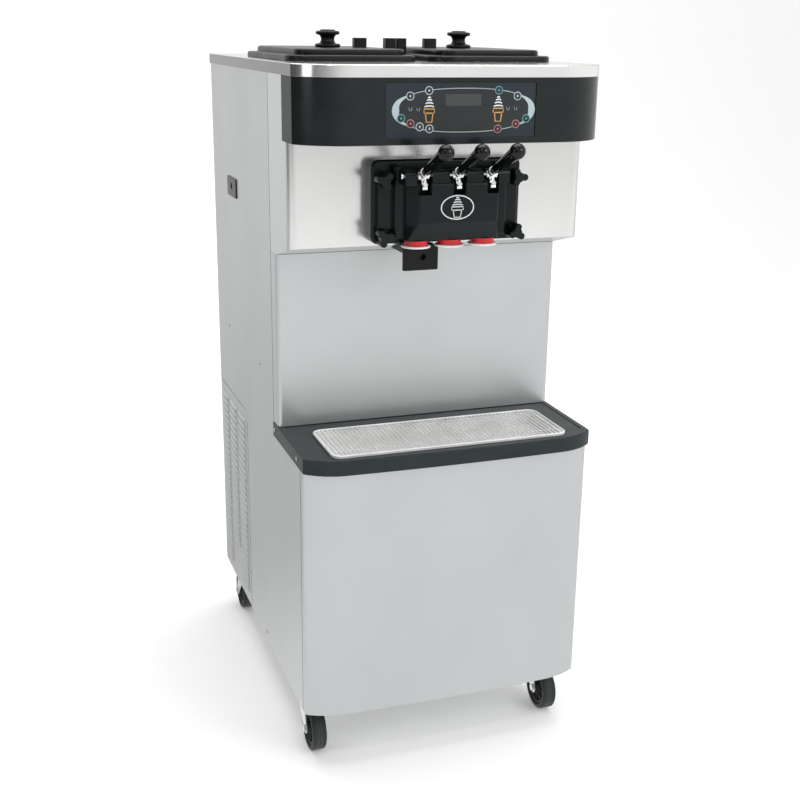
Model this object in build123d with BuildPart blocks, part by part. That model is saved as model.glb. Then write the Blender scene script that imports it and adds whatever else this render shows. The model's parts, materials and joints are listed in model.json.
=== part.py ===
from build123d import *
import math
import os

# Twin-twist soft serve machine, floor standing, on four swivel casters.
# Millimetres. +X is the right-hand side seen from the front, the front faces -Y, +Z is up.
# The origin is on the floor, under the middle of the machine.

os.makedirs("parts", exist_ok=True)

# ---------------------------------------------------------------- driving dimensions
cap_width = 646.0
body_width = 640.0
sheet = 1.5  # stainless panel thickness

rear_y = 495.0  # back of the cabinet
seam_y = -110.0  # front edge of the two tall side panels
middle_y = -157.0  # recessed front, between shelf and head
splash_y = -267.0  # front of the head, behind the door
corner_y = -314.0  # where the bowed fascia meets the sides
fascia_y = -374.5  # flat middle of the fascia
fascia_flat = 215.0  # half width of that flat middle
fascia_back_y = -236.0  # rear edge of the fascia's side wings
base_corner_y = -352.0
base_front_y = -389.0
shelf_corner_y = -368.0
shelf_front_y = -408.0

floor_gap = 133.0  # floor to underside of the cabinet
shelf_bottom_z = 692.0
shelf_z = 724.0
slope_low_z = 1102.0
splash_low_z = 1131.0
fascia_low_z = 1341.0
cap_low_z = 1466.0
cap_z = 1489.0

cap_half = cap_width / 2
half = body_width / 2
inner_half = half - sheet
panel_gap = 2.0  # shadow gap between neighbouring panels

# freezing cylinders, hoppers and their lids
cylinder_x = 85.0
cylinder_z = 1225.0
cylinder_rear_y = 200.0
cylinder_bore_r = 51.0
cylinder_skin_r = 78.0
hopper_x = 152.0
hopper_y = 31.0
hopper_length_x = 244.0
hopper_length_y = 398.0
hopper_floor_z = 1312.0
hopper_corner_r = 40.0
lid_length_x = 276.0
lid_length_y = 430.0
lid_step_z = 1501.0
lid_top_z = 1513.0

# dispensing door
door_front_y = -306.0  # front of the door's mounting flange
door_face_y = -374.0  # flat middle face of the door
door_half = 160.0
door_low_z = 1140.0
door_high_z = 1307.0
door_block_low_z = 1151.0
door_block_z = 1266.0  # top of the valve block
spout_pitch = 72.0
valve_y = -324.0
valve_r = 13.0
valve_bore_r = 13.05
handle_y = -354.0  # pivot of the three draw handles
handle_z = 1280.0
handle_rise = 24.0  # degrees above horizontal at rest
handle_reach = 137.0  # pivot to the ball's centre
ball_r = 15.5
pin_r = 4.0
pin_hole_r = 4.05
stud_x = 142.0
stud_z = (1158.0, 1270.0)
stud_r = 4.0
stud_hole_r = 4.5

# lift-out drip tray and its wire grid in the shelf
tray_length_x = 512.0
tray_length_y = 164.0
tray_y = -296.0
tray_corner_r = 16.0

# casters
wheel_r = 51.0
wheel_width = 32.0
caster_x = 281.0
caster_trail = 38.0
front_swivel_y = -246.0
rear_swivel_y = 405.0
axle_r = 5.0
axle_bore_r = 5.05
kingpin_r = 6.0
kingpin_bore_r = 6.05

# louvred service panels, low at the rear of both sides
louvre_front_y = 171.0
louvre_top_z = 658.0
louvre_corner_r = 25.0
slit_length = 88.0
slit_height = 5.0
slit_rows = 28
slit_pitch = 17.0
slit_low_z = 165.0
slit_columns = (236.0, 336.0, 436.0)
blank_rows = 5  # rows left out at the foot of the middle column

# pull-out drip pans
front_pan_x = -50.0
front_pan_z = 1107.0
front_tray_low_z = 1116.0  # the tray behind the plate is shallow
front_tray_high_z = 1131.0
side_pan_y = 269.0
side_pan_z = 1189.5

# fasteners in the side skins: (y, z)
side_screws = ((13.0, 823.0), (356.0, 832.0), (9.0, 146.0))
shelf_screws = ((-126.0, 708.0), (-318.0, 708.0))
screw_r = 2.0
screw_hole_r = 2.1

# condenser fan
fan_x = -205.0
fan_y = 335.0
fan_z = 370.0
fan_shaft_r = 6.0

sides = (("left", -1), ("right", 1))


# ---------------------------------------------------------------- shared outlines
def bowed_outline(half_width, arc_end_y, front_y, back_y):
    """Plan outline with a flat front, a tangent arc at each corner and straight sides."""
    with BuildSketch() as outline:
        with BuildLine():
            Line((-fascia_flat, front_y), (fascia_flat, front_y))
            TangentArc((fascia_flat, front_y), (half_width, arc_end_y), tangent=(1, 0))
            TangentArc((-fascia_flat, front_y), (-half_width, arc_end_y), tangent=(-1, 0))
            Polyline(
                (half_width, arc_end_y),
                (half_width, back_y),
                (-half_width, back_y),
                (-half_width, arc_end_y),
            )
        make_face()
    return outline.sketch


def base_outline(inset, back_y):
    """Plan outline of the base: a shallow front arc, then tighter arcs to both sides."""
    side = half + 1 - inset
    front = base_front_y + inset
    shoulder_x = 230.0
    bend_x = side - 6.0
    bend_y = base_corner_y - 10 + inset / 2
    with BuildSketch() as outline:
        with BuildLine():
            ThreePointArc((-shoulder_x, front + 4.5), (0, front), (shoulder_x, front + 4.5))
            for s in (-1, 1):
                ThreePointArc(
                    (s * shoulder_x, front + 4.5),
                    (s * 284.0, front + 13.5),
                    (s * bend_x, bend_y),
                )
                ThreePointArc(
                    (s * bend_x, bend_y),
                    (s * (side - 1.4), (bend_y + base_corner_y) / 2 - 0.8),
                    (s * side, base_corner_y),
                )
            Polyline(
                (side, base_corner_y), (side, back_y), (-side, back_y), (-side, base_corner_y)
            )
        make_face()
    return outline.sketch


def shelf_outline(inset, back_y):
    """Plan outline of the shelf: the base's outline with an overhang."""
    side = half + 2 - inset
    front = shelf_front_y + inset
    corner = shelf_corner_y + inset
    shoulder_x = 230.0
    with BuildSketch() as outline:
        with BuildLine():
            ThreePointArc((-shoulder_x, front + 4.5), (0, front), (shoulder_x, front + 4.5))
            for s in (-1, 1):
                ThreePointArc(
                    (s * shoulder_x, front + 4.5), (s * 284.0, front + 14.5), (s * side, corner)
                )
            Polyline((side, corner), (side, back_y), (-side, back_y), (-side, corner))
        make_face()
    return outline.sketch


def round_corner_outline(y0, y1, z0, z1, r):
    """Side view rectangle whose top front corner is rounded."""
    bite = r * (1 - math.sqrt(0.5))
    with BuildSketch() as outline:
        with BuildLine():
            ThreePointArc((y0, z1 - r), (y0 + bite, z1 - bite), (y0 + r, z1))
            Polyline((y0 + r, z1), (y1, z1), (y1, z0), (y0, z0), (y0, z1 - r))
        make_face()
    return outline.sketch


def block(x0, x1, y0, y1, z0, z1, mode=Mode.ADD):
    """Box given by its limits on each axis."""
    with Locations(((x0 + x1) / 2, (y0 + y1) / 2, (z0 + z1) / 2)):
        Box(abs(x1 - x0), abs(y1 - y0), abs(z1 - z0), mode=mode)


def side_plane(x):
    """Plane facing +X at x, sketched in (y, z)."""
    return Plane.YZ.offset(x)


def front_plane(y):
    """Plane facing -Y at y, sketched in (x, z)."""
    return Plane.XZ.offset(-y)


# ---------------------------------------------------------------- frame
post = 30.0
angle = 3.0
frame_half = 314.0
frame_front_y = -104.0
frame_rear_y = 490.0
frame_top_z = 1300.0
pan_z = floor_gap + 3.0
conduit_x = 220.0
conduit_y = 300.0
conduit_r = 14.3
deck_y = 340.0  # front edge of the deck that carries the gearmotors
deck_top_z = 1134.0
bearer_low_z = 1116.0
bearer_top_z = 1146.0
strut_x = 300.0
strut_y = -330.0
strut_top_z = 686.0

with BuildPart() as base_frame:
    # floor pan, with the supply conduit's hole near its right rear corner
    with BuildSketch(Plane.XY.offset(floor_gap)):
        add(base_outline(4.0, frame_rear_y))
    extrude(amount=pan_z - floor_gap)
    with Locations((conduit_x, conduit_y, pan_z)):
        Hole(conduit_r, depth=10)
    # four angle posts
    for sx in (-1, 1):
        for y, sy in ((frame_front_y, 1), (frame_rear_y, -1)):
            block(sx * frame_half, sx * (frame_half - post), y, y + sy * angle, pan_z, frame_top_z)
            block(sx * frame_half, sx * (frame_half - angle), y, y + sy * post, pan_z, frame_top_z)
    # side rails at the foot and at the head, front and rear rails
    for z in (pan_z, frame_top_z - post):
        for sx in (-1, 1):
            block(
                sx * frame_half,
                sx * (frame_half - angle),
                frame_front_y,
                frame_rear_y,
                z,
                z + post,
            )
        block(-frame_half, frame_half, frame_rear_y - angle, frame_rear_y, z, z + post)
    block(-frame_half, frame_half, frame_front_y, frame_front_y + angle, pan_z, pan_z + post)
    # deck that carries the gearmotors, and bearers under the cylinders
    block(
        -frame_half + angle,
        frame_half - angle,
        deck_y,
        frame_rear_y - angle,
        deck_top_z - angle - 1,
        deck_top_z,
    )
    for y in (-60.0, 130.0):
        block(-frame_half + angle, frame_half - angle, y, y + angle, bearer_low_z, bearer_top_z)
        for sx in (-1, 1):
            block(
                sx * frame_half,
                sx * (frame_half - angle),
                y - post,
                y + post,
                bearer_low_z - 16,
                bearer_top_z,
            )
    for sx in (-1, 1):
        block(
            sx * frame_half,
            sx * (frame_half - angle),
            frame_front_y,
            frame_rear_y,
            deck_top_z - 8,
            deck_top_z,
        )
        # struts from the pan to the shelf's front corners
        block(sx * strut_x, sx * (strut_x - post), strut_y, strut_y + angle, pan_z, strut_top_z)
    block(-strut_x, strut_x, strut_y, strut_y + angle, strut_top_z - post, strut_top_z)
base_frame.part.label = "base_frame"
export_step(base_frame.part, "parts/base_frame.step")

# ---------------------------------------------------------------- casters
plate_half = 34.0
plate_z = floor_gap - 4.0
race_r = 27.0
crown_z = 108.0
crown_top_z = 120.0
swivels = {
    "front_left": (-caster_x, front_swivel_y),
    "front_right": (caster_x, front_swivel_y),
    "rear_left": (-caster_x, rear_swivel_y),
    "rear_right": (caster_x, rear_swivel_y),
}
bolt_offset = 26.0

with BuildPart() as caster_plates:
    for x, y in swivels.values():
        with BuildSketch(Plane.XY.offset(plate_z)):
            with Locations((x, y)):
                RectangleRounded(2 * plate_half, 2 * plate_half, 6)
        extrude(amount=floor_gap - plate_z)
        with BuildSketch(Plane.XY.offset(crown_top_z + 0.5)):
            with Locations((x, y)):
                Circle(race_r)
        extrude(amount=plate_z - crown_top_z - 0.5)
        with BuildSketch(Plane.XY.offset(crown_z - 3)):
            with Locations((x, y)):
                Circle(kingpin_r)
        extrude(amount=plate_z - crown_z + 3)
        with BuildSketch(Plane.XY.offset(crown_z - 5)):
            with Locations((x, y)):
                RegularPolygon(9, 6)
        extrude(amount=4.5)
        # four bolt heads under each plate
        for dx in (-bolt_offset, bolt_offset):
            for dy in (-bolt_offset, bolt_offset):
                with BuildSketch(Plane.XY.offset(plate_z - 3)):
                    with Locations((x + dx, y + dy)):
                        RegularPolygon(5, 6)
                extrude(amount=3)
caster_plates.part.label = "caster_plates"
export_step(caster_plates.part, "parts/caster_plates.step")

leg_gap = wheel_width / 2 + 2.5
leg_thick = 3.0
fork_half = leg_gap + leg_thick

# fork with its swivel axis on Z and its wheel trailing towards -Y
with BuildPart() as caster_fork:
    # two legs running down from the crown to the axle
    for s in (-1, 1):
        with BuildSketch(side_plane(min(s * leg_gap, s * fork_half))):
            with BuildLine():
                Polyline(
                    (24, crown_z + 4),
                    (24, crown_z - 6),
                    (10.4 - caster_trail, wheel_r - 6),
                )
                ThreePointArc(
                    (10.4 - caster_trail, wheel_r - 6),
                    (-6 - caster_trail, wheel_r - 10.4),
                    (-11.6 - caster_trail, wheel_r + 3),
                )
                Polyline(
                    (-11.6 - caster_trail, wheel_r + 3),
                    (-26, crown_z + 4),
                    (24, crown_z + 4),
                )
            make_face()
        extrude(amount=leg_thick)
    # crown and lower ball race, bored for the kingpin
    block(-fork_half, fork_half, -26, 24, crown_z, crown_z + 4)
    with BuildSketch(Plane.XY.offset(crown_z)):
        Circle(race_r)
    extrude(amount=crown_top_z - crown_z)
    fillet(caster_fork.faces().sort_by(Axis.Z)[-1].edges(), 2.5)
    with Locations((0, 0, crown_top_z)):
        Hole(kingpin_bore_r, depth=40)
    # axle hole through both legs
    with BuildSketch(side_plane(-40)):
        with Locations((-caster_trail, wheel_r)):
            Circle(axle_bore_r)
    extrude(amount=80, mode=Mode.SUBTRACT)
    # loose axle bolt with a hexagon at each end
    with BuildSketch(side_plane(-fork_half - 0.1)):
        with Locations((-caster_trail, wheel_r)):
            Circle(axle_r)
    extrude(amount=2 * (fork_half + 0.1))
    for s in (-1, 1):
        with BuildSketch(side_plane(min(s * (fork_half + 0.1), s * (fork_half + 4.1)))):
            with Locations((-caster_trail, wheel_r)):
                RegularPolygon(8.5, 6)
        extrude(amount=4)

# wheel with its axle on X: half section in (x, radius), turned about the axle
with BuildPart() as caster_wheel:
    with BuildSketch(Plane.XY):
        with BuildLine():
            Line((-wheel_width / 2, 42), (-wheel_width / 2, 46.5))
            ThreePointArc((-wheel_width / 2, 46.5), (-14.4, 49.9), (-11, wheel_r))
            Line((-11, wheel_r), (11, wheel_r))
            ThreePointArc((11, wheel_r), (14.4, 49.9), (wheel_width / 2, 46.5))
            Polyline(
                (wheel_width / 2, 46.5),
                (wheel_width / 2, 42),
                (12, 40),
                (12, 33),
                (7, 31),
                (7, 16),
                (13, 14),
                (18, 13),
                (18, axle_bore_r),
                (-18, axle_bore_r),
                (-18, 13),
                (-13, 14),
                (-7, 16),
                (-7, 31),
                (-12, 33),
                (-12, 40),
                (-wheel_width / 2, 42),
            )
        make_face()
    revolve(axis=Axis.X)
    # radial ribs across the web on both faces
    with BuildSketch(Plane.YZ.offset(-10.5)):
        with PolarLocations(24, 8):
            Rectangle(20, 2.6)
    extrude(amount=21)

# the front wheels trail forwards and the rear wheels backwards
for place, (x, y) in swivels.items():
    turn = 0 if y < 0 else 180
    place_swivel = Pos(x, y, 0) * Rot(0, 0, turn)
    fork = place_swivel * caster_fork.part
    fork.label = f"caster_fork_{place}"
    export_step(fork, f"parts/caster_fork_{place}.step")
    wheel = place_swivel * Pos(0, -caster_trail, wheel_r) * caster_wheel.part
    wheel.label = f"caster_wheel_{place}"
    export_step(wheel, f"parts/caster_wheel_{place}.step")

# ---------------------------------------------------------------- lower casing
with BuildPart() as base_front_panel:
    with BuildSketch(Plane.XY.offset(floor_gap)):
        add(base_outline(0, base_corner_y + 10))
        add(base_outline(sheet, base_corner_y + 20), mode=Mode.SUBTRACT)
    extrude(amount=shelf_bottom_z - floor_gap)
base_front_panel.part.label = "base_front_panel"
export_step(base_front_panel.part, "parts/base_front_panel.step")

with BuildPart() as base_side_panels:
    for s in (-1, 1):
        block(
            s * (half + 1),
            s * (half + 1 - sheet),
            base_corner_y + 10 + panel_gap,
            seam_y - panel_gap,
            floor_gap,
            shelf_bottom_z,
        )
        # inward folds that stiffen both upright edges
        for y in (base_corner_y + 10 + panel_gap, seam_y - panel_gap - sheet):
            block(s * half, s * (half - 10), y, y + sheet, floor_gap + 4, shelf_bottom_z - 4)
base_side_panels.part.label = "base_side_panels"
export_step(base_side_panels.part, "parts/base_side_panels.step")

# ---------------------------------------------------------------- shelf
skirt = 3.0
deck = 4.0
with BuildPart() as shelf:
    with BuildSketch(Plane.XY.offset(shelf_bottom_z)):
        add(shelf_outline(0, seam_y - panel_gap))
    extrude(amount=shelf_z - shelf_bottom_z)
    fillet(
        shelf.edges()
        .filter_by(Axis.Z)
        .filter_by(lambda e: abs(e.center().X) > half and e.center().Y < seam_y - 20),
        7,
    )
    fillet(shelf.faces().sort_by(Axis.Z)[-1].edges().sort_by(Axis.Y)[:-1], 3)
    # hollow underside
    with BuildSketch(Plane.XY.offset(shelf_bottom_z)):
        add(shelf_outline(skirt, seam_y - panel_gap - skirt))
    extrude(amount=shelf_z - deck - shelf_bottom_z, mode=Mode.SUBTRACT)
    # shallow working surface inside a raised border
    with BuildSketch(Plane.XY.offset(shelf_z)):
        add(shelf_outline(13, middle_y - 1))
    extrude(amount=-1.2, mode=Mode.SUBTRACT)
    # opening for the drip tray
    with BuildSketch(Plane.XY.offset(shelf_z)):
        with Locations((0, tray_y)):
            RectangleRounded(tray_length_x, tray_length_y, tray_corner_r)
    extrude(amount=-20, mode=Mode.SUBTRACT)
    # screw holes through the side skirts
    for y, z in shelf_screws:
        with BuildSketch(side_plane(-half - 10)):
            with Locations((y, z)):
                Circle(screw_hole_r)
        extrude(amount=body_width + 20, mode=Mode.SUBTRACT)
shelf.part.label = "shelf"
export_step(shelf.part, "parts/shelf.step")

# ---------------------------------------------------------------- lift-out tray and grid
tray_wall = 1.5
tray_floor_z = 696.0
tray_rim_z = shelf_z - 1.2
with BuildPart() as drip_tray:
    with BuildSketch(Plane.XY.offset(tray_floor_z)):
        with Locations((0, tray_y)):
            RectangleRounded(tray_length_x - 4, tray_length_y - 4, tray_corner_r - 2)
    extrude(amount=tray_rim_z - tray_floor_z)
    with BuildSketch(Plane.XY.offset(tray_rim_z)):
        with Locations((0, tray_y)):
            RectangleRounded(tray_length_x + 12, tray_length_y + 12, tray_corner_r + 4)
    extrude(amount=tray_wall)
    with BuildSketch(Plane.XY.offset(tray_floor_z + tray_wall)):
        with Locations((0, tray_y)):
            RectangleRounded(tray_length_x - 7, tray_length_y - 7, tray_corner_r - 3.5)
    extrude(amount=40, mode=Mode.SUBTRACT)
drip_tray.part.label = "drip_tray"
export_step(drip_tray.part, "parts/drip_tray.step")

wire_r = 1.3
frame_wire_r = 2.2
grid_half_x = 261.0
grid_half_y = 86.0
grid_corner_r = 20.0
grid_bars = 53
grid_z = tray_rim_z + tray_wall + frame_wire_r
with BuildPart() as splash_grid:
    # rounded rectangle of frame wire
    x = grid_half_x
    y = grid_half_y
    r = grid_corner_r
    k = r * (1 - math.sqrt(0.5))
    with BuildLine(Plane.XY.offset(grid_z)):
        Line((-x + r, tray_y - y), (x - r, tray_y - y))
        ThreePointArc((x - r, tray_y - y), (x - k, tray_y - y + k), (x, tray_y - y + r))
        Line((x, tray_y - y + r), (x, tray_y + y - r))
        ThreePointArc((x, tray_y + y - r), (x - k, tray_y + y - k), (x - r, tray_y + y))
        Line((x - r, tray_y + y), (-x + r, tray_y + y))
        ThreePointArc((-x + r, tray_y + y), (-x + k, tray_y + y - k), (-x, tray_y + y - r))
        Line((-x, tray_y + y - r), (-x, tray_y - y + r))
        ThreePointArc((-x, tray_y - y + r), (-x + k, tray_y - y + k), (-x + r, tray_y - y))
    with BuildSketch(Plane(origin=(0, tray_y - grid_half_y, grid_z), z_dir=(1, 0, 0))):
        Circle(frame_wire_r)
    sweep()
    # cross wires, front to back, resting on two long wires
    with BuildSketch(front_plane(tray_y - grid_half_y)):
        with Locations((0, grid_z)):
            with GridLocations(2 * (grid_half_x - 12) / (grid_bars - 1), 1, grid_bars, 1):
                Circle(wire_r)
    extrude(amount=-2 * grid_half_y)
    for y in (tray_y - 50, tray_y + 50):
        with BuildSketch(side_plane(12 - grid_half_x)):
            with Locations((y, grid_z - wire_r * 1.5)):
                Circle(wire_r)
        extrude(amount=2 * grid_half_x - 24)
splash_grid.part.label = "splash_grid"
export_step(splash_grid.part, "parts/splash_grid.step")

# ---------------------------------------------------------------- front skins of the column
with BuildPart() as middle_front_panel:
    with BuildSketch(Plane.XY.offset(shelf_z + 0.5)):
        Polygon(
            (-half, seam_y - panel_gap),
            (-half, middle_y),
            (half, middle_y),
            (half, seam_y - panel_gap),
            align=None,
        )
        fillet(vertices().group_by(Axis.Y)[0], 9)
    extrude(amount=slope_low_z - shelf_z - 1)
    with BuildSketch(Plane.XY.offset(shelf_z)):
        Polygon(
            (-inner_half, seam_y + 10),
            (-inner_half, middle_y + sheet),
            (inner_half, middle_y + sheet),
            (inner_half, seam_y + 10),
            align=None,
        )
        fillet(vertices().group_by(Axis.Y)[0], 7.5)
    extrude(amount=slope_low_z - shelf_z + 5, mode=Mode.SUBTRACT)
middle_front_panel.part.label = "middle_front_panel"
export_step(middle_front_panel.part, "parts/middle_front_panel.step")

head_bend_r = 18.0
slope_run = middle_y - splash_y
slope_rise = splash_low_z - slope_low_z
slope_lift = sheet * (math.hypot(slope_run, slope_rise) - slope_rise) / slope_run

# the space inside the head's skin, open at the back and at the top
with BuildPart() as head_hollow:
    with BuildSketch(side_plane(-inner_half)):
        Polygon(
            (seam_y + 10, slope_low_z - 20),
            (middle_y + sheet, slope_low_z - 20),
            (middle_y + sheet, slope_low_z + slope_lift),
            (splash_y + sheet, splash_low_z + slope_lift),
            (splash_y + sheet, cap_low_z + 10),
            (seam_y + 10, cap_low_z + 10),
            align=None,
        )
    extrude(amount=2 * inner_half)
    fillet(
        head_hollow.edges().filter_by(Axis.Z).group_by(Axis.Y)[0],
        head_bend_r - sheet,
    )

with BuildPart() as upper_front_panel:
    with BuildSketch(side_plane(-half)):
        Polygon(
            (seam_y - panel_gap, slope_low_z),
            (middle_y, slope_low_z),
            (splash_y, splash_low_z),
            (splash_y, fascia_low_z),
            (fascia_back_y + 1, fascia_low_z),
            (fascia_back_y + 1, cap_low_z),
            (seam_y - panel_gap, cap_low_z),
            align=None,
        )
    extrude(amount=body_width)
    fillet(
        upper_front_panel.edges().filter_by(Axis.Z).group_by(Axis.Y)[0],
        head_bend_r,
    )
    add(head_hollow.part, mode=Mode.SUBTRACT)
    # ports for the two freezing cylinders, and holes for the door's studs
    with BuildSketch(front_plane(splash_y)):
        with Locations((-cylinder_x, cylinder_z), (cylinder_x, cylinder_z)):
            Circle(60)
        with Locations([(s * stud_x, z) for s in (-1, 1) for z in stud_z]):
            Circle(stud_hole_r)
    extrude(amount=-10, mode=Mode.SUBTRACT)
    # mouth for the front drip pan
    block(
        front_pan_x - 37,
        front_pan_x + 37,
        splash_y - 5,
        middle_y + 5,
        front_tray_low_z - 1.5,
        front_tray_high_z + 1.5,
        mode=Mode.SUBTRACT,
    )
upper_front_panel.part.label = "upper_front_panel"
export_step(upper_front_panel.part, "parts/upper_front_panel.step")

# ---------------------------------------------------------------- tall side panels
fold = 12.0

with BuildPart() as louver_panel_left:
    with BuildSketch(side_plane(-half)):
        add(
            round_corner_outline(
                louvre_front_y + panel_gap,
                rear_y - panel_gap,
                floor_gap,
                louvre_top_z - panel_gap,
                louvre_corner_r - panel_gap,
            )
        )
    extrude(amount=sheet)
    # three columns of level slits
    with BuildSketch(side_plane(-half - 1)):
        for column, y in enumerate(slit_columns):
            first = blank_rows if column == 1 else 0
            for row in range(first, slit_rows):
                with Locations((y, slit_low_z + row * slit_pitch)):
                    Rectangle(slit_length, slit_height)
    extrude(amount=sheet + 2, mode=Mode.SUBTRACT)
    # stiffening fold behind the front edge
    block(
        -half,
        -half + fold,
        louvre_front_y + panel_gap,
        louvre_front_y + panel_gap + sheet,
        floor_gap + 36,
        louvre_top_z - louvre_corner_r - 4,
    )
louver_panel_left.part.label = "louver_panel_left"
export_step(louver_panel_left.part, "parts/louver_panel_left.step")

with BuildPart() as louver_panel_right:
    mirror(louver_panel_left.part, about=Plane.YZ)
louver_panel_right.part.label = "louver_panel_right"
export_step(louver_panel_right.part, "parts/louver_panel_right.step")

# plain side skin with its folds, screw holes and the corner left for the louvred panel
with BuildPart() as side_blank:
    with BuildSketch(side_plane(-half)):
        Polygon(
            (seam_y, floor_gap),
            (rear_y, floor_gap),
            (rear_y, cap_low_z),
            (seam_y, cap_low_z),
            align=None,
        )
        add(
            round_corner_outline(
                louvre_front_y, rear_y + 10, floor_gap - 10, louvre_top_z, louvre_corner_r
            ),
            mode=Mode.SUBTRACT,
        )
    extrude(amount=sheet)
    block(-half, -half + fold, seam_y, seam_y + sheet, floor_gap + 4, cap_low_z - 4)
    with BuildSketch(side_plane(-half)):
        with Locations(side_screws):
            Circle(screw_hole_r)
    extrude(amount=sheet, mode=Mode.SUBTRACT)

# the right panel is the plain skin mirrored
with BuildPart() as side_panel_right:
    mirror(side_blank.part, about=Plane.YZ)
side_panel_right.part.label = "side_panel_right"
export_step(side_panel_right.part, "parts/side_panel_right.step")

# the left panel also has the mouth of the side drip pan
side_pan_half_y = 48.0
side_pan_half_z = 22.5
with BuildPart() as side_panel_left:
    add(side_blank.part)
    with BuildSketch(side_plane(-half)):
        with Locations((side_pan_y, side_pan_z)):
            Rectangle(2 * side_pan_half_y - 6, 2 * side_pan_half_z - 6)
    extrude(amount=sheet, mode=Mode.SUBTRACT)
side_panel_left.part.label = "side_panel_left"
export_step(side_panel_left.part, "parts/side_panel_left.step")

# ---------------------------------------------------------------- rear panel
with BuildPart() as rear_panel:
    with BuildSketch(Plane.XZ.offset(-rear_y)):
        with Locations((0, (floor_gap + cap_low_z) / 2)):
            Rectangle(2 * inner_half - 0.4, cap_low_z - floor_gap - 2)
    extrude(amount=sheet)
    # exhaust slots for the condenser air
    with BuildSketch(Plane.XZ.offset(-rear_y)):
        with Locations((0, 400)):
            with GridLocations(150, 24, 3, 16):
                SlotOverall(130, 8)
        with Locations((0, 1380)):
            with GridLocations(150, 24, 3, 4):
                SlotOverall(130, 8)
    extrude(amount=sheet, mode=Mode.SUBTRACT)
rear_panel.part.label = "rear_panel"
export_step(rear_panel.part, "parts/rear_panel.step")

# ---------------------------------------------------------------- top cap
cap_plate = 1.5
cap_skirt = 2.0
with BuildPart() as top_cap:
    with BuildSketch(Plane.XY.offset(cap_low_z)):
        add(bowed_outline(cap_half, corner_y, fascia_y - 1, rear_y))
    extrude(amount=cap_z - cap_low_z)
    fillet(top_cap.faces().sort_by(Axis.Z)[-1].edges(), 1.8)
    with BuildSketch(Plane.XY.offset(cap_low_z)):
        add(
            bowed_outline(
                cap_half - cap_skirt,
                corner_y + cap_skirt,
                fascia_y - 1 + cap_skirt,
                rear_y - cap_skirt,
            )
        )
    extrude(amount=cap_z - cap_plate - cap_low_z, mode=Mode.SUBTRACT)
    # mouths of the two hoppers
    with BuildSketch(Plane.XY.offset(cap_z)):
        with Locations((-hopper_x, hopper_y), (hopper_x, hopper_y)):
            RectangleRounded(hopper_length_x + 1, hopper_length_y + 1, hopper_corner_r)
    extrude(amount=-10, mode=Mode.SUBTRACT)
top_cap.part.label = "top_cap"
export_step(top_cap.part, "parts/top_cap.step")

# ---------------------------------------------------------------- hoppers and lids
hopper_wall = 1.5
with BuildPart() as hoppers:
    for s in (-1, 1):
        with BuildSketch(Plane.XY.offset(hopper_floor_z)):
            with Locations((s * hopper_x, hopper_y)):
                RectangleRounded(hopper_length_x, hopper_length_y, hopper_corner_r - 0.5)
        extrude(amount=cap_z - hopper_floor_z)
        # rim that rests on the cap
        with BuildSketch(Plane.XY.offset(cap_z)):
            with Locations((s * hopper_x, hopper_y)):
                RectangleRounded(hopper_length_x + 8, hopper_length_y + 8, hopper_corner_r + 3)
        extrude(amount=2)
        with BuildSketch(Plane.XY.offset(hopper_floor_z + hopper_wall)):
            with Locations((s * hopper_x, hopper_y)):
                RectangleRounded(
                    hopper_length_x - 2 * hopper_wall,
                    hopper_length_y - 2 * hopper_wall,
                    hopper_corner_r - 2,
                )
        extrude(amount=cap_z, mode=Mode.SUBTRACT)
        # mix inlet in the floor, above the freezing cylinder
        with Locations((s * cylinder_x, hopper_y - 120, hopper_floor_z + hopper_wall)):
            Hole(11, depth=5)
hoppers.part.label = "hoppers"
export_step(hoppers.part, "parts/hoppers.step")

lid_wall = 3.0
lid_low_z = cap_z + 0.6
lid_inset = 21.0
lid_corner_r = 46.0
knob_low_z = lid_top_z
with BuildPart() as hopper_lid_left:
    # wide lower tier
    with BuildSketch(Plane.XY.offset(lid_low_z)):
        with Locations((-hopper_x, hopper_y)):
            RectangleRounded(lid_length_x, lid_length_y, lid_corner_r)
    extrude(amount=lid_step_z - lid_low_z)
    fillet(hopper_lid_left.faces().sort_by(Axis.Z)[-1].edges(), 5)
    # narrower upper tier
    with BuildSketch(Plane.XY.offset(lid_step_z - 1)):
        with Locations((-hopper_x, hopper_y)):
            RectangleRounded(
                lid_length_x - 2 * lid_inset, lid_length_y - 2 * lid_inset, lid_corner_r - 12
            )
    extrude(amount=lid_top_z - lid_step_z + 1)
    fillet(hopper_lid_left.faces().sort_by(Axis.Z)[-1].edges(), 6)
    # hollow below, stepped like the outside
    with BuildSketch(Plane.XY.offset(lid_low_z)):
        with Locations((-hopper_x, hopper_y)):
            RectangleRounded(lid_length_x - 14, lid_length_y - 14, lid_corner_r - 6)
    extrude(amount=lid_step_z - lid_wall - lid_low_z, mode=Mode.SUBTRACT)
    with BuildSketch(Plane.XY.offset(lid_low_z)):
        with Locations((-hopper_x, hopper_y)):
            RectangleRounded(
                lid_length_x - 2 * lid_inset - 14,
                lid_length_y - 2 * lid_inset - 14,
                lid_corner_r - 18,
            )
    extrude(amount=lid_top_z - lid_wall - lid_low_z, mode=Mode.SUBTRACT)
    # two finger lugs beside the knob, one of them over the inner edge
    block(-95, -67, 18, 38, lid_top_z - 1, 1533)
    block(-24, -2, 16, 40, lid_step_z - 3, 1533)
    fillet(hopper_lid_left.edges().filter_by(Axis.Z).filter_by(lambda e: e.length > 18), 3)
    # hole for the knob's screw
    with Locations((-hopper_x, hopper_y, lid_top_z)):
        Hole(4.2, depth=10)
hopper_lid_left.part.label = "hopper_lid_left"
export_step(hopper_lid_left.part, "parts/hopper_lid_left.step")

with BuildPart() as hopper_lid_right:
    mirror(hopper_lid_left.part, about=Plane.YZ)
hopper_lid_right.part.label = "hopper_lid_right"
export_step(hopper_lid_right.part, "parts/hopper_lid_right.step")

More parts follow.
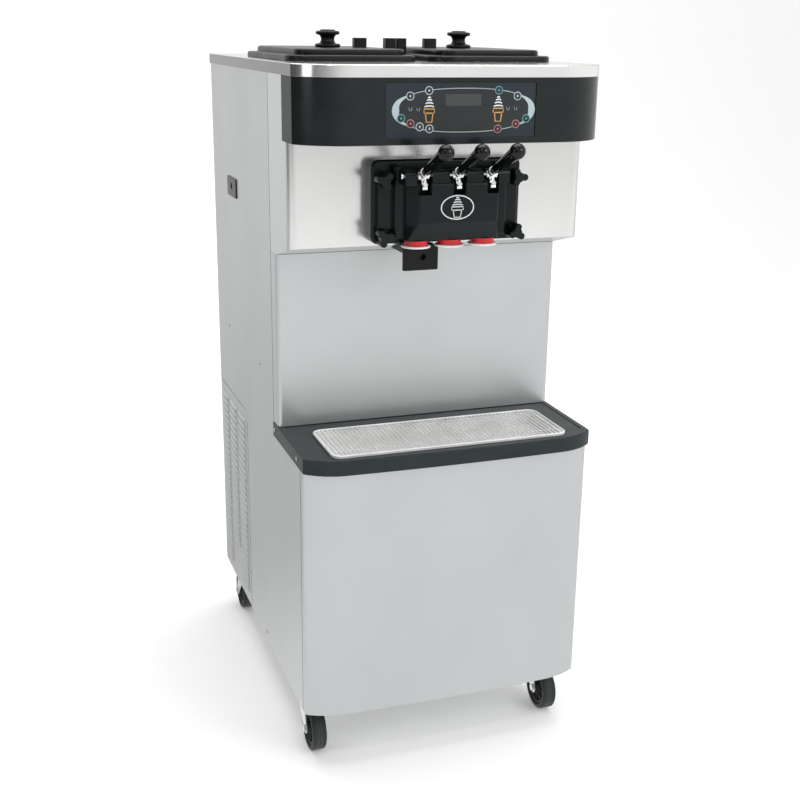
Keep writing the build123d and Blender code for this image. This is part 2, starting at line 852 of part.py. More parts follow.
for side, s in sides:
    with BuildPart() as lid_knob:
        # spool shape, with a stud that passes through the lid
        with BuildSketch(Plane.XZ):
            with BuildLine():
                Polyline(
                    (0, knob_low_z - 6),
                    (4.1, knob_low_z - 6),
                    (4.1, knob_low_z),
                    (26, knob_low_z),
                    (27.5, knob_low_z + 2),
                    (27.5, knob_low_z + 5.5),
                    (25, knob_low_z + 7.5),
                    (18, knob_low_z + 8.5),
                )
                ThreePointArc(
                    (18, knob_low_z + 8.5),
                    (14.5, knob_low_z + 16.5),
                    (18, knob_low_z + 25),
                )
                Polyline(
                    (18, knob_low_z + 25),
                    (24, knob_low_z + 26.5),
                    (26, knob_low_z + 28.5),
                    (26, knob_low_z + 31.5),
                    (24, knob_low_z + 33.5),
                    (17, knob_low_z + 34),
                    (15, knob_low_z + 36.5),
                    (0, knob_low_z + 37),
                    (0, knob_low_z - 6),
                )
            make_face()
        revolve(axis=Axis.Z)
    knob = Pos(s * hopper_x, hopper_y, 0) * lid_knob.part
    knob.label = f"lid_knob_{side}"
    export_step(knob, f"parts/lid_knob_{side}.step")

# ---------------------------------------------------------------- control fascia
fascia_wall = 4.0
overlay_half = 155.0
overlay_low_z = 1353.5
overlay_high_z = 1456.5
pocket_depth = 2.5
overlay_thick = 1.0
overlay_z = (overlay_low_z + overlay_high_z) / 2
with BuildPart() as control_bezel:
    with BuildSketch(Plane.XY.offset(fascia_low_z)):
        add(bowed_outline(cap_half - 1, corner_y, fascia_y, fascia_back_y))
        add(
            bowed_outline(
                cap_half - 1 - fascia_wall,
                corner_y + fascia_wall / 2,
                fascia_y + fascia_wall,
                fascia_back_y + 5,
            ),
            mode=Mode.SUBTRACT,
        )
    extrude(amount=cap_low_z - fascia_low_z)
    # shelf-like lower lip that closes the fascia against the splash panel
    with BuildSketch(Plane.XY.offset(fascia_low_z)):
        add(bowed_outline(cap_half - 2, corner_y + 1, fascia_y + 1, splash_y - 0.5))
    extrude(amount=2.5)
    # shallow pocket for the control overlay, open behind it for the display and the ribbon
    with BuildSketch(front_plane(fascia_y - 1)):
        with Locations((0, overlay_z)):
            RectangleRounded(2 * overlay_half + 2, overlay_high_z - overlay_low_z + 2, 5)
    extrude(amount=-pocket_depth - 1, mode=Mode.SUBTRACT)
    with BuildSketch(front_plane(fascia_y - 1)):
        with Locations((0, overlay_z)):
            Rectangle(240, 70)
    extrude(amount=-20, mode=Mode.SUBTRACT)
control_bezel.part.label = "control_bezel"
export_step(control_bezel.part, "parts/control_bezel.step")

with BuildPart() as control_overlay:
    with BuildSketch(front_plane(fascia_y + pocket_depth)):
        with Locations((0, overlay_z)):
            RectangleRounded(2 * overlay_half, overlay_high_z - overlay_low_z, 4)
    extrude(amount=overlay_thick)
control_overlay.part.label = "control_overlay"
export_step(control_overlay.part, "parts/control_overlay.step")

board_y = fascia_y + fascia_wall + 14
with BuildPart() as control_board:
    block(-130, 130, board_y, board_y + 1.6, 1362, 1448)
    # display module, processor, connectors and capacitors
    block(-38, 38, board_y - 10, board_y, 1408, 1440)
    block(-15, 15, board_y + 1.6, board_y + 5, 1375, 1405)
    for x in (-110, -70, 70, 110):
        block(x - 15, x + 15, board_y + 1.6, board_y + 14, 1366, 1378)
    for x in (-95, 95):
        with BuildSketch(front_plane(board_y + 1.6)):
            with Locations((x, 1425)):
                Circle(7)
        extrude(amount=-20)
    # four standoffs to the fascia
    for x in (-125, 125):
        for z in (1367, 1443):
            with BuildSketch(front_plane(board_y)):
                with Locations((x, z)):
                    Circle(3.5)
            extrude(amount=board_y - fascia_y - fascia_wall)
control_board.part.label = "control_board"
export_step(control_board.part, "parts/control_board.step")

# ---------------------------------------------------------------- dispensing door
spouts = (-spout_pitch, 0.0, spout_pitch)
handle_names = {"left": -spout_pitch, "centre": 0.0, "right": spout_pitch}
ears = ((-98.0, 12.0), (-36.0, 18.0), (36.0, 18.0), (98.0, 12.0))  # centre, half width
plug_x = 110.0
plug_y = -320.0
plug_head_r = 10.0
plug_r = 8.0
plug_bore_r = 8.05
plug_seat_z = 1215.0
spout_low_z = 1140.0
spout_r = 21.0
star_cap_r = 24.0
port_z = 1186.0
twist_port_x = 40.0
twist_port_z = 1205.0
slot_half = 13.5
slot_back_y = -342.0
slot_low_z = 1244.0
gasket_r = 56.0
gasket_width = 4.0
gasket_depth = 3.0

with BuildPart() as dispensing_door:
    # mounting flange with rounded corners
    with BuildSketch(front_plane(splash_y)):
        with Locations((0, (door_low_z + door_high_z) / 2)):
            RectangleRounded(2 * door_half, door_high_z - door_low_z, 15)
    extrude(amount=splash_y - door_front_y)
    fillet(dispensing_door.faces().sort_by(Axis.Y)[0].edges(), 6)
    # raised wing plate
    with BuildSketch(front_plane(door_front_y)):
        with Locations((0, 1217)):
            RectangleRounded(300, 92, 5)
    extrude(amount=12)
    fillet(dispensing_door.faces().sort_by(Axis.Y)[0].edges(), 4)
    # second step
    with BuildSketch(front_plane(door_front_y)):
        with Locations((0, 1213)):
            RectangleRounded(240, 118, 6)
    extrude(amount=26)
    fillet(dispensing_door.faces().sort_by(Axis.Y)[0].edges(), 5)
    # valve block with bevelled sides
    with BuildSketch(Plane.XY.offset(door_block_low_z)):
        Polygon(
            (-100, door_front_y),
            (-100, -340),
            (-83, door_face_y),
            (83, door_face_y),
            (100, -340),
            (100, door_front_y),
            align=None,
        )
        fillet(vertices().group_by(Axis.Y)[0], 5)
        fillet(vertices().group_by(Axis.Y)[1], 6)
    extrude(amount=door_block_z - door_block_low_z)
    # lower face sloping back above the spouts
    with BuildSketch(side_plane(-130)):
        Polygon((-390, 1190), (-374, 1190), (-347, 1151), (-347, 1100), (-390, 1100), align=None)
    extrude(amount=260, mode=Mode.SUBTRACT)
    fillet(
        dispensing_door.edges()
        .filter_by(Axis.X)
        .filter_by(lambda e: e.length > 150 and e.center().Y < -365),
        4,
    )
    # ears between the handles, which carry the pivot pin
    for x, ear_half in ears:
        with BuildSketch(side_plane(x - ear_half)):
            with BuildLine():
                Polyline((-312, door_block_z - 4), (-312, 1286), (-316, 1290), (-356, 1290))
                ThreePointArc((-356, 1290), (-363.1, 1287.1), (-366, 1280))
                Polyline((-366, 1280), (-366, door_block_z - 4), (-312, door_block_z - 4))
            make_face()
        extrude(amount=2 * ear_half)
    with BuildSketch(side_plane(-140)):
        with Locations((handle_y, handle_z)):
            Circle(pin_hole_r)
    extrude(amount=280, mode=Mode.SUBTRACT)
    # round reliefs in the flange for the star caps, then the spout collars
    for x in spouts:
        with BuildSketch(Plane.XY.offset(door_low_z - 1)):
            with Locations((x, valve_y)):
                Circle(star_cap_r + 1)
        extrude(amount=door_block_low_z - door_low_z + 1, mode=Mode.SUBTRACT)
    for x in spouts:
        with BuildSketch(Plane.XY.offset(spout_low_z)):
            with Locations((x, valve_y)):
                Circle(spout_r)
        extrude(amount=20)
    # valve bores and the product ports behind them
    for x in spouts:
        with BuildSketch(Plane.XY.offset(spout_low_z)):
            with Locations((x, valve_y)):
                Circle(valve_bore_r)
        extrude(amount=door_block_z + 30 - spout_low_z, mode=Mode.SUBTRACT)
        # room for the handle's fork and hub above the block
        slot = (x - slot_half, x + slot_half, door_face_y - 6)
        block(*slot, door_front_y - 0.5, door_block_z, 1300, mode=Mode.SUBTRACT)
        block(*slot, slot_back_y, slot_low_z, 1300, mode=Mode.SUBTRACT)
    with BuildSketch(front_plane(splash_y)):
        with Locations((-spout_pitch, port_z), (spout_pitch, port_z)):
            Circle(9)
        with Locations((-twist_port_x, twist_port_z), (twist_port_x, twist_port_z)):
            Circle(6)
    extrude(amount=splash_y - valve_y, mode=Mode.SUBTRACT)
    # cross drilling that feeds both flavours to the middle valve
    with BuildSketch(side_plane(-twist_port_x)):
        with Locations((valve_y, twist_port_z)):
            Circle(6)
    extrude(amount=2 * twist_port_x, mode=Mode.SUBTRACT)
    # vertical bores for the two prime plugs
    for s in (-1, 1):
        with BuildSketch(Plane.XY.offset(plug_seat_z)):
            with Locations((s * plug_x, plug_y)):
                Circle(plug_bore_r)
        extrude(amount=100, mode=Mode.SUBTRACT)
        with BuildSketch(front_plane(splash_y)):
            with Locations((s * (plug_x - 4), 1232)):
                Circle(5)
        extrude(amount=splash_y - plug_y - 4, mode=Mode.SUBTRACT)
        # head room for the plug's cap
        with BuildSketch(Plane.XY.offset(1272)):
            with Locations((s * plug_x, plug_y)):
                Circle(plug_head_r + 1)
        extrude(amount=60, mode=Mode.SUBTRACT)
    # stud holes at the four corners
    with BuildSketch(front_plane(splash_y)):
        with Locations([(s * stud_x, z) for s in (-1, 1) for z in stud_z]):
            Circle(stud_hole_r)
    extrude(amount=80, mode=Mode.SUBTRACT)
    # gasket grooves around both cylinder mouths
    with BuildSketch(front_plane(splash_y)):
        with Locations((-cylinder_x, cylinder_z), (cylinder_x, cylinder_z)):
            Circle(gasket_r + gasket_width)
            Circle(gasket_r, mode=Mode.SUBTRACT)
    extrude(amount=gasket_depth, mode=Mode.SUBTRACT)
dispensing_door.part.label = "dispensing_door"
export_step(dispensing_door.part, "parts/dispensing_door.step")

with BuildPart() as door_gaskets:
    with BuildSketch(front_plane(splash_y)):
        with Locations((-cylinder_x, cylinder_z), (cylinder_x, cylinder_z)):
            Circle(gasket_r + gasket_width - 0.1)
            Circle(gasket_r + 0.1, mode=Mode.SUBTRACT)
    extrude(amount=gasket_depth - 0.1)
door_gaskets.part.label = "door_gaskets"
export_step(door_gaskets.part, "parts/door_gaskets.step")

knob_back_y = -322.0
knob_front_y = -346.0
with BuildPart() as door_studs:
    for s in (-1, 1):
        for z in stud_z:
            with BuildSketch(front_plane(splash_y + 12)):
                with Locations((s * stud_x, z)):
                    Circle(stud_r)
            extrude(amount=splash_y + 12 - knob_front_y - 6)
door_studs.part.label = "door_studs"
export_step(door_studs.part, "parts/door_studs.step")

with BuildPart() as hand_screws:
    for s in (-1, 1):
        for z in stud_z:
            # three-lobed knob on a collar, bored for the stud
            turn = 20.0 + 35.0 * s + z / 3
            lobes = [
                (
                    s * stud_x + 11.5 * math.cos(math.radians(turn + 120 * i)),
                    z + 11.5 * math.sin(math.radians(turn + 120 * i)),
                )
                for i in range(3)
            ]
            with BuildSketch(front_plane(knob_back_y)):
                with Locations((s * stud_x, z)):
                    Circle(10)
                with Locations(lobes):
                    Circle(7)
            extrude(amount=knob_back_y - knob_front_y)
            with BuildSketch(front_plane(door_front_y)):
                with Locations((s * stud_x, z)):
                    Circle(6.5)
            extrude(amount=door_front_y - knob_back_y)
            with BuildSketch(front_plane(door_front_y)):
                with Locations((s * stud_x, z)):
                    Circle(stud_r)
            extrude(amount=door_front_y - knob_front_y - 5, mode=Mode.SUBTRACT)
    fillet(hand_screws.faces().filter_by(Axis.Y).group_by(Axis.Y)[0].edges(), 1.5)
hand_screws.part.label = "hand_screws"
export_step(hand_screws.part, "parts/hand_screws.step")

pin_half = 113.0
pin_head_r = 7.0
pin_head = 4.0
with BuildPart() as handle_pivot_pin:
    with BuildSketch(side_plane(-pin_half)):
        with Locations((handle_y, handle_z)):
            Circle(pin_r)
    extrude(amount=2 * pin_half)
    with BuildSketch(side_plane(-pin_half - pin_head)):
        with Locations((handle_y, handle_z)):
            Circle(pin_head_r)
    extrude(amount=pin_head)
handle_pivot_pin.part.label = "handle_pivot_pin"
export_step(handle_pivot_pin.part, "parts/handle_pivot_pin.step")

# red star caps pushed over the spout collars
with BuildPart() as star_caps:
    for x in spouts:
        with BuildSketch(Plane.XY.offset(spout_low_z - 4)):
            with Locations((x, valve_y)):
                Circle(star_cap_r)
        extrude(amount=14)
        with BuildSketch(Plane.XY.offset(spout_low_z)):
            with Locations((x, valve_y)):
                Circle(spout_r)
        extrude(amount=14, mode=Mode.SUBTRACT)
        with BuildSketch(Plane.XY.offset(spout_low_z - 4)):
            with Locations((x, valve_y)):
                Circle(6.5)
                with PolarLocations(7.5, 6):
                    Circle(2.6)
        extrude(amount=8, mode=Mode.SUBTRACT)
star_caps.part.label = "star_caps"
export_step(star_caps.part, "parts/star_caps.step")

# ---------------------------------------------------------------- draw handles and valves
fork_drop = 12.1  # fork tip below the pivot at rest
neck_z = handle_z - fork_drop
neck_half = 7.5
neck_r = 6.5
prong_inner = 7.0
prong_outer = 11.0
hub_r = 11.0
rise = math.radians(handle_rise)
grip_start = 30.0
tongue_length = 27.0
tongue_half = 4.0
tongue_turn = math.radians(238)  # from +Y, so it points forwards and down


def along_handle(distance, offset=0.0):
    """Point in (y, z) at a distance from the pivot along the handle, offset square to it."""
    return (
        handle_y - distance * math.cos(rise) + offset * math.sin(rise),
        handle_z + distance * math.sin(rise) + offset * math.cos(rise),
    )


def along_tongue(distance, offset):
    """Point in (y, z) at a distance from the pivot along the tongue, offset square to it."""
    return (
        handle_y + distance * math.cos(tongue_turn) - offset * math.sin(tongue_turn),
        handle_z + distance * math.sin(tongue_turn) + offset * math.cos(tongue_turn),
    )


for name, x in handle_names.items():
    handle_plane = Plane(
        origin=(x, *along_handle(0)),
        x_dir=(1, 0, 0),
        z_dir=(0, -math.cos(rise), math.sin(rise)),
    )
    with BuildPart() as draw_handle:
        # hub on the pivot pin
        with BuildSketch(side_plane(x - prong_outer)):
            with Locations((handle_y, handle_z)):
                Circle(hub_r)
        extrude(amount=2 * prong_outer)
        # socket for the grip
        with BuildSketch(handle_plane):
            Circle(8.5)
        extrude(amount=grip_start)
        with BuildSketch(handle_plane.offset(14)):
            Circle(10)
        extrude(amount=5)
        # spigot inside the grip
        with BuildSketch(handle_plane):
            Circle(4)
        extrude(amount=grip_start + 40)
        # two prongs that straddle the valve's neck
        for s in (-1, 1):
            prong_x = min(x + s * prong_inner, x + s * prong_outer)
            with BuildSketch(side_plane(prong_x)):
                Polygon(
                    (handle_y + 2, handle_z + 3),
                    (valve_y, neck_z + 2),
                    (valve_y, neck_z - 2),
                    (handle_y - 2, handle_z - 3),
                    align=None,
                )
                with Locations((valve_y, neck_z)):
                    Circle(6.2)
            extrude(amount=prong_outer - prong_inner)
        # tongue in front of the door, crossed near its end by the adjusting screw
        with BuildSketch(side_plane(x - 5)):
            Polygon(
                along_tongue(0, tongue_half),
                along_tongue(tongue_length, tongue_half),
                along_tongue(tongue_length, -tongue_half),
                along_tongue(0, -tongue_half),
                align=None,
            )
            with Locations(along_tongue(tongue_length, 0)):
                Circle(tongue_half)
        extrude(amount=10)
        screw_plane = Plane(
            origin=(x, *along_tongue(tongue_length - 4, 0)),
            x_dir=(1, 0, 0),
            z_dir=(0, math.sin(tongue_turn), -math.cos(tongue_turn)),
        )
        with BuildSketch(screw_plane):
            RegularPolygon(5.5, 6)
        extrude(amount=tongue_half + 4)
        # pivot bore
        with BuildSketch(side_plane(x - 20)):
            with Locations((handle_y, handle_z)):
                Circle(pin_hole_r)
        extrude(amount=40, mode=Mode.SUBTRACT)
        # gap between the prongs
        block(
            x - prong_inner,
            x + prong_inner,
            handle_y + 9,
            valve_y + 20,
            neck_z - 20,
            handle_z + 20,
            mode=Mode.SUBTRACT,
        )
    draw_handle.part.label = f"draw_handle_{name}"
    export_step(draw_handle.part, f"parts/draw_handle_{name}.step")

    with BuildPart() as handle_grip:
        # half section along the handle: a taper that swells into a ball
        join = 129.5
        join_r = math.sqrt(ball_r**2 - (handle_reach - join) ** 2)
        with BuildSketch(Plane.XZ):
            with BuildLine():
                Polyline((0, grip_start), (8, grip_start), (8.8, grip_start + 1.5))
                Polyline((8.8, grip_start + 1.5), (join_r, join))
                ThreePointArc((join_r, join), (ball_r, handle_reach), (0, handle_reach + ball_r))
                Line((0, handle_reach + ball_r), (0, grip_start))
            make_face()
        revolve(axis=Axis.Z)
        with Locations((0, 0, grip_start)):
            Cylinder(
                4, 40, align=(Align.CENTER, Align.CENTER, Align.MIN), mode=Mode.SUBTRACT
            )
    grip = handle_plane.location * handle_grip.part
    grip.label = f"handle_grip_{name}"
    export_step(grip, f"parts/handle_grip_{name}.step")

    with BuildPart() as draw_valve:
        # plunger, with a tapered foot, an O-ring groove and a necked head for the fork
        top = neck_z + neck_half
        with BuildSketch(Plane.XZ):
            with BuildLine():
                Polyline(
                    (0, spout_low_z + 12),
                    (8, spout_low_z + 12),
                    (valve_r, spout_low_z + 22),
                    (valve_r, spout_low_z + 30),
                    (valve_r - 1.5, spout_low_z + 30),
                    (valve_r - 1.5, spout_low_z + 33),
                    (valve_r, spout_low_z + 33),
                    (valve_r, neck_z - neck_half - 3),
                    (10, neck_z - neck_half),
                    (neck_r, neck_z - neck_half),
                    (neck_r, top),
                    (10, top),
                    (10, top + 5),
                    (8.5, top + 6.5),
                    (0, top + 6.5),
                    (0, spout_low_z + 12),
                )
            make_face()
        revolve(axis=Axis.Z)
    valve = Pos(x, valve_y, 0) * draw_valve.part
    valve.label = f"draw_valve_{name}"
    export_step(valve, f"parts/draw_valve_{name}.step")

for side, s in sides:
    with BuildPart() as prime_plug:
        # stem, seal groove and a flat finger cap
        with BuildSketch(Plane.XZ):
            with BuildLine():
                Polyline(
                    (0, plug_seat_z + 1),
                    (6, plug_seat_z + 1),
                    (plug_r, plug_seat_z + 4),
                    (plug_r, plug_seat_z + 9),
                    (plug_r - 1.2, plug_seat_z + 9),
                    (plug_r - 1.2, plug_seat_z + 12),
                    (plug_r, plug_seat_z + 12),
                    (plug_r, 1284),
                    (plug_head_r - 1, 1284),
                    (plug_head_r, 1285),
                    (plug_head_r, 1295),
                    (plug_head_r - 1.5, 1297),
                    (0, 1297),
                    (0, plug_seat_z + 1),
                )
            make_face()
        revolve(axis=Axis.Z)
    plug = Pos(s * plug_x, plug_y, 0) * prime_plug.part
    plug.label = f"prime_plug_{side}"
    export_step(plug, f"parts/prime_plug_{side}.step")

# ---------------------------------------------------------------- freezing cylinders
shaft_r = 10.0
shaft_bore_r = 10.05
cylinder_front_y = splash_y + 0.5
neck_front_y = -250.0
with BuildPart() as freezing_cylinders:
    for s in (-1, 1):
        centre = (s * cylinder_x, cylinder_z)
        # insulated jacket
        with BuildSketch(front_plane(cylinder_rear_y)):
            with Locations(centre):
                Circle(cylinder_skin_r)
        extrude(amount=cylinder_rear_y - neck_front_y)
        # front flange that shows through the head's skin, and the bare barrel
        with BuildSketch(front_plane(neck_front_y)):
            with Locations(centre):
                Circle(59)
        extrude(amount=neck_front_y - cylinder_front_y)
        with BuildSketch(front_plane(cylinder_rear_y - 8)):
            with Locations(centre):
                Circle(cylinder_bore_r)
        extrude(amount=cylinder_rear_y - cylinder_front_y, mode=Mode.SUBTRACT)
        # rear bearing boss
        with BuildSketch(front_plane(cylinder_rear_y + 14)):
            with Locations(centre):
                Circle(24)
        extrude(amount=14)
        with BuildSketch(front_plane(cylinder_rear_y + 20)):
            with Locations(centre):
                Circle(shaft_bore_r)
        extrude(amount=60, mode=Mode.SUBTRACT)
freezing_cylinders.part.label = "freezing_cylinders"
export_step(freezing_cylinders.part, "parts/freezing_cylinders.step")

beater_front_y = -258.0
beater_rear_y = 186.0
blade_r = 47.0
shaft_end_y = 345.0
for side, s in sides:
    with BuildPart() as beater:
        # drive shaft, through the rear bearing and into the gearmotor
        with BuildSketch(front_plane(shaft_end_y)):
            Circle(shaft_r)
        extrude(amount=shaft_end_y - beater_rear_y + 20)
        # open cage: end discs, three hoops and four scraper bars
        for y in (beater_front_y, -150.0, -40.0, 70.0, beater_rear_y - 6):
            with BuildSketch(front_plane(y + 6)):
                Circle(blade_r - 3)
                if y < beater_rear_y - 10:
                    Circle(blade_r - 12, mode=Mode.SUBTRACT)
            extrude(amount=6)
        with BuildSketch(front_plane(beater_rear_y)):
            with PolarLocations(blade_r - 5, 4):
                Rectangle(10, 5)
        extrude(amount=beater_rear_y - beater_front_y)
    part_in_place = Pos(s * cylinder_x, 0, cylinder_z) * beater.part
    part_in_place.label = f"beater_{side}"
    export_step(part_in_place, f"parts/beater_{side}.step")

# ---------------------------------------------------------------- gearmotors on the rear deck
gear_front_y = 330.0
gear_rear_y = 392.0
deck_top_z = 1134.0
with BuildPart() as gearmotors:
    for s in (-1, 1):
        x = s * cylinder_x
        block(x - 62, x + 62, gear_front_y, gear_rear_y, deck_top_z + 12, 1290)
        block(x - 66, x + 66, 342, gear_rear_y + 20, deck_top_z, deck_top_z + 12)
        with BuildSketch(front_plane(gear_rear_y)):
            with Locations((x, cylinder_z)):
                Circle(58)
        extrude(amount=gear_rear_y - 484)
        with BuildSketch(front_plane(gear_front_y)):
            with Locations((x, cylinder_z)):
                Circle(26)
        extrude(amount=8)
        with BuildSketch(front_plane(gear_front_y - 10)):
            with Locations((x, cylinder_z)):
                Circle(shaft_bore_r)
        extrude(amount=gear_front_y - 10 - shaft_end_y - 3, mode=Mode.SUBTRACT)
gearmotors.part.label = "gearmotors"
export_step(gearmotors.part, "parts/gearmotors.step")

# ---------------------------------------------------------------- refrigeration, below
with BuildPart() as compressor:
    # hermetic shell on a foot plate, with its terminal box
    with BuildSketch(Plane.XY.offset(pan_z + 24)):
        with Locations((100, 120)):
            Circle(96)
    extrude(amount=236)
    fillet(compressor.faces().sort_by(Axis.Z)[-1].edges(), 34)
    fillet(compressor.faces().sort_by(Axis.Z)[0].edges(), 20)
    block(0, 200, 20, 220, pan_z + 12, pan_z + 18)
    with BuildSketch(Plane.XY.offset(pan_z + 12)):
        with Locations((100, 120)):
            Circle(60)
    extrude(amount=40)
    for dx in (-85, 85):
        for dy in (-85, 85):
            with BuildSketch(Plane.XY.offset(pan_z)):
                with Locations((100 + dx, 120 + dy)):
                    Circle(14)
            extrude(amount=12)
    block(60, 140, 12, 40, pan_z + 110, pan_z + 180)
compressor.part.label = "compressor"
export_step(compressor.part, "parts/compressor.step")

with BuildPart() as condenser:
    # finned block between two tube plates, with a shroud ring facing the fan
    block(-300, -250, 185, 482, 200, 540)
    for y in (182.0, 482.0):
        block(-302, -240, y, y + 3, pan_z, 546)
    block(-262, -240, 185, 482, 200, 540)
    with BuildSketch(side_plane(-250)):
        with Locations((fan_y, fan_z)):
            Circle(138)
    extrude(amount=12, mode=Mode.SUBTRACT)
condenser.part.label = "condenser"
export_step(condenser.part, "parts/condenser.step")

with BuildPart() as fan_motor:
    with BuildSketch(side_plane(fan_x + 22)):
        with Locations((fan_y, fan_z)):
            Circle(42)
    extrude(amount=80)
    fillet(fan_motor.edges().filter_by(GeomType.CIRCLE), 6)
    with BuildSketch(side_plane(fan_x - 22)):
        with Locations((fan_y, fan_z)):
            Circle(fan_shaft_r)
    extrude(amount=50)
    # pedestal on the floor pan
    block(fan_x + 45, fan_x + 51, fan_y - 30, fan_y + 30, pan_z, fan_z - 20)
    block(fan_x + 30, fan_x + 80, fan_y - 40, fan_y + 40, pan_z, pan_z + 4)
fan_motor.part.label = "fan_motor"
export_step(fan_motor.part, "parts/fan_motor.step")



def fan_blade_plane(turn):
    """Plane of one blade: pitched about the blade's length, then turned about the fan's axis."""
    return (
        Plane((fan_x, fan_y, fan_z), x_dir=(0, 1, 0), z_dir=(1, 0, 0))
        .rotated((0, 0, 24))
        .rotated((turn, 0, 0))
    )


with BuildPart() as condenser_fan:
    with BuildSketch(side_plane(fan_x - 16)):
        with Locations((fan_y, fan_z)):
            Circle(26)
    extrude(amount=30)
    # five pitched blades
    for i in range(5):
        with BuildSketch(fan_blade_plane(72.0 * i)):
            with BuildLine():
                Polyline((0, 18), (34, 40), (52, 112))
                ThreePointArc((52, 112), (10, 124), (-30, 120))
                Polyline((-30, 120), (-20, 18), (0, 18))
            make_face()
        extrude(amount=2.5, both=True)
    with BuildSketch(side_plane(fan_x - 30)):
        with Locations((fan_y, fan_z)):
            Circle(fan_shaft_r + 0.05)
    extrude(amount=60, mode=Mode.SUBTRACT)
condenser_fan.part.label = "condenser_fan"
export_step(condenser_fan.part, "parts/condenser_fan.step")

with BuildPart() as electrical_box:
    block(200, 300, 60, 240, 420, 640)
    block(206, 294, 66, 234, 426, 634, mode=Mode.SUBTRACT)
    block(230, 290, 90, 210, 440, 520)
    block(300, 311, 80, 100, 420, 640)
    block(300, 311, 200, 220, 420, 640)
electrical_box.part.label = "electrical_box"
export_step(electrical_box.part, "parts/electrical_box.step")

# ---------------------------------------------------------------- drip pans
pan_wall = 1.5
pan_plate_y = -290.0  # back of the front pan's plate
pan_plate = 4.0
pan_plate_width = 76.0
pan_plate_height = 52.0
pan_half = 35.0
pan_rear_y = -64.0
finger_hole = (front_pan_x + 5, front_pan_z + 1)
finger_cup = 9.0
finger_hole_r = 6.5
with BuildPart() as front_drip_pan:
    # front plate with a finger hole, and a shallow tray behind it
    with BuildSketch(front_plane(pan_plate_y)):
        with Locations((front_pan_x, front_pan_z)):
            RectangleRounded(pan_plate_width, pan_plate_height, 3)
    extrude(amount=pan_plate)
    block(
        front_pan_x - pan_half,
        front_pan_x + pan_half,
        pan_plate_y,
        pan_rear_y,
        front_tray_low_z,
        front_tray_high_z,
    )
    block(
        front_pan_x - pan_half + pan_wall,
        front_pan_x + pan_half - pan_wall,
        pan_plate_y + pan_wall,
        pan_rear_y - pan_wall,
        front_tray_low_z + pan_wall,
        front_tray_high_z + 5,
        mode=Mode.SUBTRACT,
    )
    # blind cup behind the plate for the fingertip
    with BuildSketch(front_plane(pan_plate_y + finger_cup)):
        with Locations(finger_hole):
            Circle(finger_hole_r + pan_wall)
    extrude(amount=finger_cup)
    with BuildSketch(front_plane(pan_plate_y + finger_cup - pan_wall)):
        with Locations(finger_hole):
            Circle(finger_hole_r)
    extrude(amount=finger_cup + 2 * pan_plate, mode=Mode.SUBTRACT)
front_drip_pan.part.label = "front_drip_pan"
export_step(front_drip_pan.part, "parts/front_drip_pan.step")

with BuildPart() as side_drip_pan:
    with BuildSketch(side_plane(-cap_half)):
        with Locations((side_pan_y, side_pan_z)):
            RectangleRounded(2 * side_pan_half_y, 2 * side_pan_half_z, 4)
    extrude(amount=cap_half - half)
    block(-half, -half + 4, side_pan_y - 44, side_pan_y + 44, side_pan_z - 18, side_pan_z + 18)
    block(-half, -60, side_pan_y - 44, side_pan_y + 44, side_pan_z - 18, side_pan_z - 2)
    block(
        -half + 3,
        -61.5,
        side_pan_y - 42.5,
        side_pan_y + 42.5,
        side_pan_z - 16.5,
        side_pan_z + 10,
        mode=Mode.SUBTRACT,
    )
    # finger hole
    with BuildSketch(side_plane(-cap_half - 1)):
        with Locations((side_pan_y, side_pan_z + 2)):
            Circle(8)
    extrude(amount=20, mode=Mode.SUBTRACT)
side_drip_pan.part.label = "side_drip_pan"
export_step(side_drip_pan.part, "parts/side_drip_pan.step")

# ---------------------------------------------------------------- screws in the skins
with BuildPart() as panel_screws:
    for s in (-1, 1):
        for holes, face_x, head in ((side_screws, half, 1.6), (shelf_screws, half + 2, 1.2)):
            for y, z in holes:
                start = min(s * (face_x - 6), s * face_x)
                with BuildSketch(side_plane(start)):
                    with Locations((y, z)):
                        Circle(screw_r)
                extrude(amount=6)
                start = min(s * face_x, s * (face_x + head))
                with BuildSketch(side_plane(start)):
                    with Locations((y, z)):
                        Circle(5)
                extrude(amount=head)
panel_screws.part.label = "panel_screws"
export_step(panel_screws.part, "parts/panel_screws.step")
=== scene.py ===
import json
import math

import bmesh
import bpy
from mathutils import Matrix, Vector


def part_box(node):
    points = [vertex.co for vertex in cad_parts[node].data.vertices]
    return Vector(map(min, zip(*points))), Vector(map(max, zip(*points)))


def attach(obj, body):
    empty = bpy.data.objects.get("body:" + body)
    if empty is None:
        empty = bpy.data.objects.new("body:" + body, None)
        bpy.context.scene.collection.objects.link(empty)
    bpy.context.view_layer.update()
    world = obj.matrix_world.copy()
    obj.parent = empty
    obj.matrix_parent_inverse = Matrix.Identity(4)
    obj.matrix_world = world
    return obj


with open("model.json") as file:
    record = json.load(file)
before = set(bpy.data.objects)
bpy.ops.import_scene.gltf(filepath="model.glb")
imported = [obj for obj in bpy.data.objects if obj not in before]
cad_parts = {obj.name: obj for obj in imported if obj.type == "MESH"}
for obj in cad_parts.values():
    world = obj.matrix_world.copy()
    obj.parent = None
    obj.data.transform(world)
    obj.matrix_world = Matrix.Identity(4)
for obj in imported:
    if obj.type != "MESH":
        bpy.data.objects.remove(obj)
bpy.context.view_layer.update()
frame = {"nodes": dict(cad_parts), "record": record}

SIDES = (("left", -1), ("right", 1))
CABINET = "cabinet"


def middle(node):
    """Centre of a CAD node's box."""
    low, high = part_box(node)
    return (Vector(low) + Vector(high)) / 2


